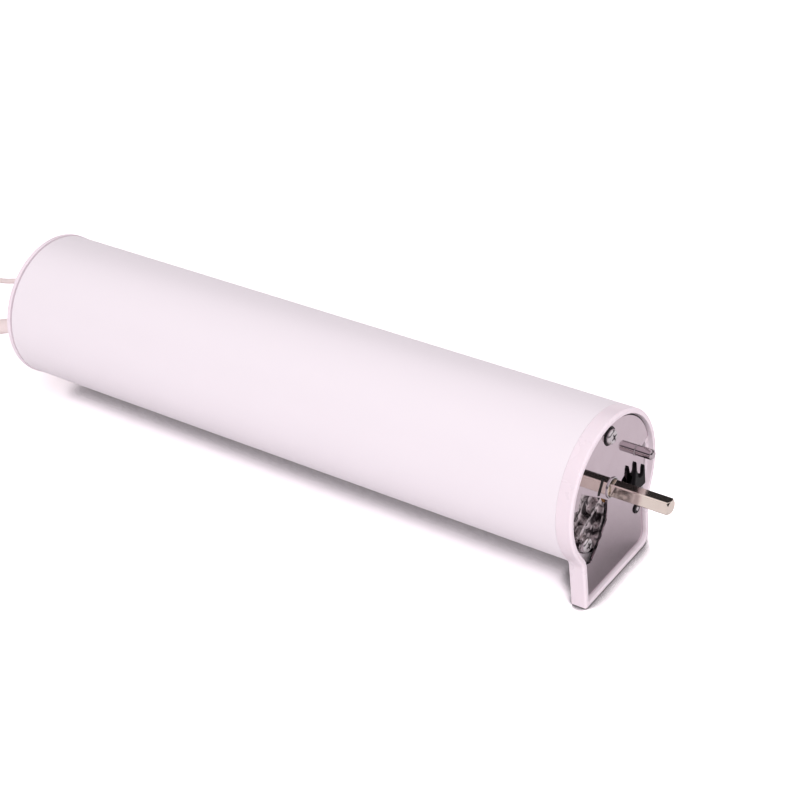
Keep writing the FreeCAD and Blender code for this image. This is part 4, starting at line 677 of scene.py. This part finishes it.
class MOTOR_OT_studio(Operator):
    """Places the camera, the lamps, the surroundings and the floor"""
    bl_idname = "motor.studio"
    bl_label = "Studio"

    def execute(self, context):
        scene = context.scene
        scene.view_settings.view_transform = "Standard"
        camera = bpy.data.objects.new("camera", bpy.data.cameras.new("camera"))
        scene.collection.objects.link(camera)
        camera.data.sensor_width = CAMERA_SENSOR
        camera.data.lens = CAMERA_LENS
        camera.data.clip_start = 0.01
        turn = Matrix((CAMERA_RIGHT, CAMERA_UP, CAMERA_BACK)).transposed().to_4x4()
        camera.matrix_world = Matrix.Translation(CAMERA_PLACE) @ turn
        scene.camera = camera
        for name, settings in LAMPS.items():
            self.lamp(name, *settings)
        self.surroundings(scene)
        self.floor(scene)
        return {"FINISHED"}

    def lamp(self, name, energy, width, towards):
        lamp = bpy.data.objects.new(name, bpy.data.lights.new(name, "SUN"))
        lamp.data.energy = energy
        lamp.data.angle = math.radians(width)
        lamp.data.color = LIGHT_TINT
        lamp.visible_glossy = False
        lamp.rotation_mode = "QUATERNION"
        lamp.rotation_quaternion = Vector(towards).to_track_quat("Z", "Y")
        bpy.context.scene.collection.objects.link(lamp)

    def surroundings(self, scene):
        """Even light for the painted surfaces; for what they reflect, white with one dark band across the room."""
        world = bpy.data.worlds.new("studio")
        scene.world = world
        world.use_nodes = True
        tree = world.node_tree
        tree.nodes.clear()
        way = add_node(tree, "ShaderNodeTexCoord").outputs["Generated"]
        height = add_node(tree, "ShaderNodeSeparateXYZ", links={"Vector": way}).outputs["Z"]
        bright, dull, dark = ((*(level * part for part in LIGHT_TINT), 1) for level in (1, 0.7, 0.03))
        mirrored = self.sky(tree, height, 0.95, (0.12, bright), (0.22, dark), (0.44, dark), (0.62, bright))
        fill = self.sky(tree, height, 0.5, (0.0, dull), (0.9, bright))
        seen = add_node(tree, "ShaderNodeBackground", {"Color": (1, 1, 1, 1), "Strength": 1}).outputs[0]
        ray = add_node(tree, "ShaderNodeLightPath")
        either = add_node(tree, "ShaderNodeMath", links={0: ray.outputs["Is Camera Ray"],
                                                         1: ray.outputs["Is Transmission Ray"]}, operation="MAXIMUM")
        lit = add_node(tree, "ShaderNodeMixShader", links={0: ray.outputs["Is Glossy Ray"], 1: fill, 2: mirrored})
        mixed = add_node(tree, "ShaderNodeMixShader", links={0: either.outputs[0], 1: lit.outputs[0], 2: seen})
        add_node(tree, "ShaderNodeOutputWorld", links={"Surface": mixed.outputs[0]})

    def sky(self, tree, height, strength, *steps):
        """A background whose colour runs through the steps, each a height above the horizon and its colour."""
        ramp = add_node(tree, "ShaderNodeValToRGB", links={"Fac": height})
        while len(ramp.color_ramp.elements) < len(steps):
            ramp.color_ramp.elements.new(0.5)
        for element, (position, colour) in zip(ramp.color_ramp.elements, steps):
            element.position = position
            element.color = colour
        return add_node(tree, "ShaderNodeBackground", {"Strength": strength},
                        {"Color": ramp.outputs["Color"]}).outputs[0]

    def floor(self, scene):
        shape = bmesh.new()
        bmesh.ops.create_grid(shape, x_segments=1, y_segments=1, size=6)
        mesh = bpy.data.meshes.new("floor")
        shape.to_mesh(mesh)
        shape.free()
        floor = bpy.data.objects.new("floor", mesh)
        floor.location = (0, 0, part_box("front_bezel")[0].z - 0.02 * MM)
        scene.collection.objects.link(floor)
        material = bpy.data.materials.new("floor_paper_with_painted_shade")
        material.use_nodes = True
        tree = material.node_tree
        tree.nodes.clear()
        paper = add_node(tree, "ShaderNodeBsdfDiffuse", {"Color": (*colours().floor, 1)})
        # Painted contact shade: the camera sees paper darkened by ambient occlusion under and beside the motor. The
        # last level is above 1, so that the open paper clips to the white of the background.
        bleached_with_painted_shade = self.paper_with_painted_shade(tree, 14, (0.57, 0.16), (0.75, 1.5))
        # Painted shade for reflections: metal sees paper that darkens by ambient occlusion towards the motor, so that
        # the plate's reflection runs darker from its head to its foot.
        mirrored = self.paper_with_painted_shade(tree, 60, (0.5, 0.24), (1.0, 0.84))
        ray = add_node(tree, "ShaderNodeLightPath")
        lit = add_node(tree, "ShaderNodeMixShader", links={0: ray.outputs["Is Glossy Ray"], 1: paper.outputs[0],
                                                           2: mirrored})
        either = add_node(tree, "ShaderNodeMixShader", links={0: ray.outputs["Is Camera Ray"], 1: lit.outputs[0],
                                                              2: bleached_with_painted_shade})
        add_node(tree, "ShaderNodeOutputMaterial", links={"Surface": either.outputs[0]})
        mesh.materials.append(material)

    def paper_with_painted_shade(self, tree, reach, *levels):
        """Paper with painted shade: its colour darkens by ambient occlusion where things stand within this many
        millimetres of it.
        """
        open_sky = add_node(tree, "ShaderNodeAmbientOcclusion", {"Distance": reach * MM}, samples=12)
        shade = add_node(tree, "ShaderNodeValToRGB", links={"Fac": open_sky.outputs["AO"]})
        for element, (position, level) in zip(shade.color_ramp.elements, levels):
            element.position = position
            element.color = (level, level, level, 1)
        return add_node(tree, "ShaderNodeBsdfDiffuse", links={"Color": shade.outputs["Color"]}).outputs[0]


class MOTOR_OT_cords(Operator):
    """Lays the power cord with its wound length, its plug and strap, and the aerial wire"""
    bl_idname = "motor.cords"
    bl_label = "Cords"

    def execute(self, context):
        turns, turns_end = coil_route()
        route = [CORD_EXIT, (-303 * MM, -6 * MM, -15.8 * MM), (-314 * MM, -7.6 * MM, -20 * MM),
                 (-334 * MM, -16 * MM, -26.5 * MM),
                 (-357 * MM, -34.7 * MM, COIL_LOW), (-378 * MM, -40.7 * MM, COIL_LOW),
                 (-393.4 * MM, -40.7 * MM, COIL_LOW), *turns, *lead_route(turns_end)]
        power = cord_line("power_cord_run", route, sizes().power_cord, "extruded_pvc")
        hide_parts("power_cord", "power_cord_coil", "plug_lead")
        strap = rounded_copy("cord_strap", "coil_strap", "woven_strap", ROOT, 0.2 * MM)
        plug = rounded_copy("plug_moulding", "plug_body", "moulded_abs", ROOT, 1.2 * MM, steps=4, spread=40)
        pins = rounded_copy("plug_pins", "plug_prongs", "plated_brass_pin", ROOT, 0.5 * MM)
        wire_route = [WIRE_EXIT, (-288 * MM, -2 * MM, 9 * MM), (-298 * MM, -1.5 * MM, 5.6 * MM),
                      (-308 * MM, 0.5 * MM, 1.6 * MM),
                      (-322 * MM, 4.5 * MM, -3 * MM), (-338 * MM, 9 * MM, -6.6 * MM), (-354 * MM, 14 * MM, -9.5 * MM),
                      (-370 * MM, 20 * MM, -17.5 * MM), (-386 * MM, 25 * MM, WIRE_ON_COIL),
                      (-402 * MM, 26 * MM, WIRE_ON_COIL), (-418 * MM, 20 * MM, WIRE_ON_COIL)]
        aerial = cord_line("aerial_wire_run", wire_route, sizes().aerial_wire, "extruded_pvc")
        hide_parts("aerial_wire")
        return {"FINISHED"}


class MOTOR_OT_tube(Operator):
    """Makes the powder-coated tube"""
    bl_idname = "motor.tube"
    bl_label = "Tube"

    def execute(self, context):
        low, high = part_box("housing_tube")
        outer, inner, edge = sizes().tube_radius, sizes().tube_bore, 0.12 * MM
        profile = rounded_profile([(low.x, outer, edge), (high.x, outer, edge), (high.x, inner, edge),
                                   (low.x, inner, edge)])
        mesh = turned("tube_skin", profile, steps=256)
        smooth_by_angle(mesh, 40)
        new_piece("tube_skin", mesh, "polyester_powder_coat", ROOT, "housing_tube")
        return {"FINISHED"}


class MOTOR_OT_bezel(Operator):
    """Makes the keyhole bezel with its foot"""
    bl_idname = "motor.bezel"
    bl_label = "Keyhole bezel"

    def execute(self, context):
        rounded_copy("keyhole_bezel", "front_bezel", "moulded_abs", ROOT, sizes().moulded_edge, spread=20)
        return {"FINISHED"}


class MOTOR_OT_plate(Operator):
    """Makes the polished plate with its rivet, a black sheet behind it and a black piece in its slit that give painted
    shade, and the cast flange behind it
    """
    bl_idname = "motor.plate"
    bl_label = "Plate and flange"

    def execute(self, context):
        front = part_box("face_plate")[1].x
        trimmed = 0.982

        def inside_gap(co):
            return Vector((co.x, co.y * trimmed, co.z * trimmed))

        def set_back(co):
            return Vector((min(co.x, front - 0.5 * MM), co.y, co.z))

        opened = slab("notch_cutter", -6 * MM, 2 * MM, NOTCH)
        rounded_copy("polished_plate", "face_plate", "mirror_polished_stainless", ROOT, sizes().machined_edge,
                     reshape=inside_gap, cutter=opened.copy())
        # Painted shade: a black rubber sheet 0.5 mm behind the plate's front, which shows as a dark line in the gap
        # round the trimmed plate.
        rounded_copy("plate_gap_shade_sheet", "face_plate", "nitrile_rubber", ROOT, 0.05 * MM, reshape=set_back, cutter=opened,
                     stands_in=False)
        tongue = slab("plate_tongue", front - 0.45 * MM, front - 0.05 * MM, TONGUE)
        new_piece("plate_tongue", tongue, "mirror_polished_stainless", ROOT)
        # Painted shade: a black piece in the slit beside the shaft, where there is only shade.
        slot_shade = slab("slot_painted_shade", front - 0.2 * MM, front + 0.12 * MM, SLOT)
        softened(new_piece("slot_painted_shade", slot_shade, "black_glass_nylon", ROOT), 0.1 * MM)
        self.rivet(front)
        rounded_copy("cast_flange", "gearbox_flange", "die_cast_zinc", ROOT, sizes().cast_edge)
        return {"FINISHED"}

    def rivet(self, front):
        """A small rivet in a blackened ring."""
        ring = turned("stop_ring", [(front, 1.0 * MM), (front + 0.5 * MM, 1.1 * MM), (front + 0.5 * MM, 1.9 * MM),
                                    (front, 2.1 * MM)], RIVET_CENTRE, 48)
        rivet = turned("stop_rivet", [(front, 0), (front, 1.0 * MM), (front + 0.7 * MM, 0.8 * MM),
                                      (front + 0.9 * MM, 0)], RIVET_CENTRE, 48, closed=False)
        for mesh, finish in ((ring, "blackened_steel"), (rivet, "zinc_plated_steel")):
            smooth_by_angle(mesh, 40)
            new_piece(mesh.name, mesh, finish, ROOT)


class MOTOR_OT_drive_end(Operator):
    """Makes the square-ended shaft, its collar, the locating pin and the black catch"""
    bl_idname = "motor.drive_end"
    bl_label = "Shaft, pin and catch"

    def execute(self, context):
        rounded_copy("drive_shaft", "output_shaft", "nickel_plated_bar", OUTPUT, 0.12 * MM, spread=24)
        self.collar()
        rounded_copy("guide_pin", "locating_pin", "ground_steel", ROOT, 0.15 * MM)
        self.catch()
        return {"FINISHED"}

    def collar(self):
        """The thin bright ring round the shaft's root."""
        low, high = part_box("shaft_collar")
        outer, inner, front = high.z, 3.32 * MM, low.x + 1.75 * MM
        profile = rounded_profile([(low.x, outer, 0), (front, outer, 0.25 * MM), (front, inner + 0.35 * MM, 0.2 * MM),
                                   (low.x + 0.9 * MM, inner, 0), (low.x, inner, 0)])
        mesh = turned("drive_collar", profile, steps=96)
        smooth_by_angle(mesh, 40)
        new_piece("drive_collar", mesh, "zinc_plated_steel", ROOT, "shaft_collar")

    def catch(self):
        """The catch: a thick root in the notch, and in front of it a thin crown with two pointed fingers."""
        low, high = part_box("black_catch")
        mesh = joined_meshes("moulded_catch", (slab("crown", high.x - 1.5 * MM, high.x, CROWN),
                                               slab("root", low.x, high.x - 1.4 * MM, CROWN_ROOT)))
        softened(new_piece("moulded_catch", mesh, "black_glass_nylon", ROOT, "black_catch"), 0.22 * MM)


class MOTOR_OT_screws(Operator):
    """Makes the screws of plate and flange with their cross recesses, and the washer of the plate's screw"""
    bl_idname = "motor.screws"
    bl_label = "Screws"

    def execute(self, context):
        low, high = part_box("plate_screw")
        centre = ((low.y + high.y) / 2, (low.z + high.z) / 2)
        mesh = screw_mesh("plate_screw_headed", high.x, centre, 20)
        new_piece("plate_screw_headed", mesh, "zinc_plated_steel", ROOT, "plate_screw")
        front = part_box("face_plate")[1].x
        ring = turned("screw_washer", [(front, 2.2 * MM), (front + 0.35 * MM, 2.2 * MM), (front + 0.35 * MM, 3.5 * MM),
                                       (front, 3.7 * MM)], centre, 72)
        smooth_by_angle(ring, 40)
        new_piece("screw_washer", ring, "blackened_steel", ROOT)
        low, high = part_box("flange_screws")
        height = low.z + SCREW_HEAD
        meshes = [screw_mesh("flange_screw", high.x, (side, height), turn)
                  for side, turn in ((low.y + SCREW_HEAD, 8), (high.y - SCREW_HEAD, 35))]
        mesh = joined_meshes("flange_screws_headed", meshes)
        smooth_by_angle(mesh, 32)
        new_piece("flange_screws_headed", mesh, "zinc_plated_steel", ROOT, "flange_screws")
        return {"FINISHED"}


class MOTOR_OT_rear_end(Operator):
    """Makes the rear cap, the strain relief and the grommet"""
    bl_idname = "motor.rear_end"
    bl_label = "Rear end"

    def execute(self, context):
        low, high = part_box("rear_cap")
        rim = sizes().tube_radius - 1.5 * MM

        def drawn_in(co):
            radius = math.hypot(co.y, co.z)
            if co.x < low.x + 0.5 * MM and radius > rim:
                return Vector((co.x, co.y * rim / radius, co.z * rim / radius))
            return co

        rounded_copy("rear_cap_moulding", "rear_cap", "moulded_abs", ROOT, 0.15 * MM, reshape=drawn_in)
        self.relief()
        rounded_copy("wire_grommet", "aerial_grommet", "soft_pvc", ROOT, 0.2 * MM)
        return {"FINISHED"}

    def relief(self):
        """The ribbed strain relief, soft towards its tip."""
        low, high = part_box("strain_relief")
        centre = ((low.y + high.y) / 2, (low.z + high.z) / 2)
        tip, collar, root = low.x, low.x + 20 * MM, high.x
        bore = 3.32 * MM
        corners = [(tip, bore, 0), (tip, 4.0 * MM, 0.3 * MM)]
        ribs, start, stop = 5, tip + 2.2 * MM, collar - 4.6 * MM
        for rib in range(ribs):
            for share, cut in ((0.0, 0.0), (0.12, 0.9), (0.42, 0.9), (0.54, 0.0)):
                x = start + (stop - start) * (rib + share) / ribs
                radius = 4.0 * MM + (7.2 - 4.0) * MM * (x - tip) / (collar - 4 * MM - tip)
                corners.append((x, radius - cut * MM, 0.15 * MM))
        corners += [(collar - 4 * MM, 7.1 * MM, 0.5 * MM), (collar, 7.1 * MM, 0.2 * MM), (collar, 6.0 * MM, 0),
                    (root, 6.0 * MM, 0.2 * MM), (root, bore, 0)]
        mesh = turned("ribbed_relief", rounded_profile(corners, steps=3), centre, 96)
        smooth_by_angle(mesh, 35)
        new_piece("ribbed_relief", mesh, "soft_pvc", ROOT, "strain_relief")


class MOTOR_OT_inside(Operator):
    """Gives gearbox, motor and boards their finishes"""
    bl_idname = "motor.inside"
    bl_label = "Inside"

    def execute(self, context):
        for finish, nodes in INNER_NODES.items():
            material = finish_named(finish)
            for node in nodes:
                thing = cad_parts[node]
                for place in thing.material_slots:
                    place.material = material
        return {"FINISHED"}


class MOTOR_PT_panel(Panel):
    """Lists the steps that dress the motor"""
    bl_idname = "MOTOR_PT_panel"
    bl_label = "Curtain motor"
    bl_space_type = "VIEW_3D"
    bl_region_type = "UI"
    bl_category = "Curtain motor"

    def draw(self, context):
        for group in (context.scene.motor_sizes, context.scene.motor_colours):
            column = self.layout.column(align=True)
            for name in group.__annotations__:
                column.prop(group, name)
        for step in STEPS:
            self.layout.operator(step.bl_idname)


STEPS = (MOTOR_OT_studio, MOTOR_OT_cords, MOTOR_OT_tube, MOTOR_OT_bezel, MOTOR_OT_plate, MOTOR_OT_drive_end,
         MOTOR_OT_screws, MOTOR_OT_rear_end, MOTOR_OT_inside)
CLASSES = (MotorSizes, MotorColours, *STEPS, MOTOR_PT_panel)


def register():
    for made in CLASSES:
        bpy.utils.register_class(made)
    bpy.types.Scene.motor_sizes = PointerProperty(type=MotorSizes)
    bpy.types.Scene.motor_colours = PointerProperty(type=MotorColours)


def unregister():
    del bpy.types.Scene.motor_colours
    del bpy.types.Scene.motor_sizes
    for made in reversed(CLASSES):
        bpy.utils.unregister_class(made)


def main():
    register()
    bpy.ops.motor.studio()
    bpy.ops.motor.cords()
    bpy.ops.motor.tube()
    bpy.ops.motor.bezel()
    bpy.ops.motor.plate()
    bpy.ops.motor.drive_end()
    bpy.ops.motor.screws()
    bpy.ops.motor.rear_end()
    bpy.ops.motor.inside()


if __name__ == "__main__":
    main()
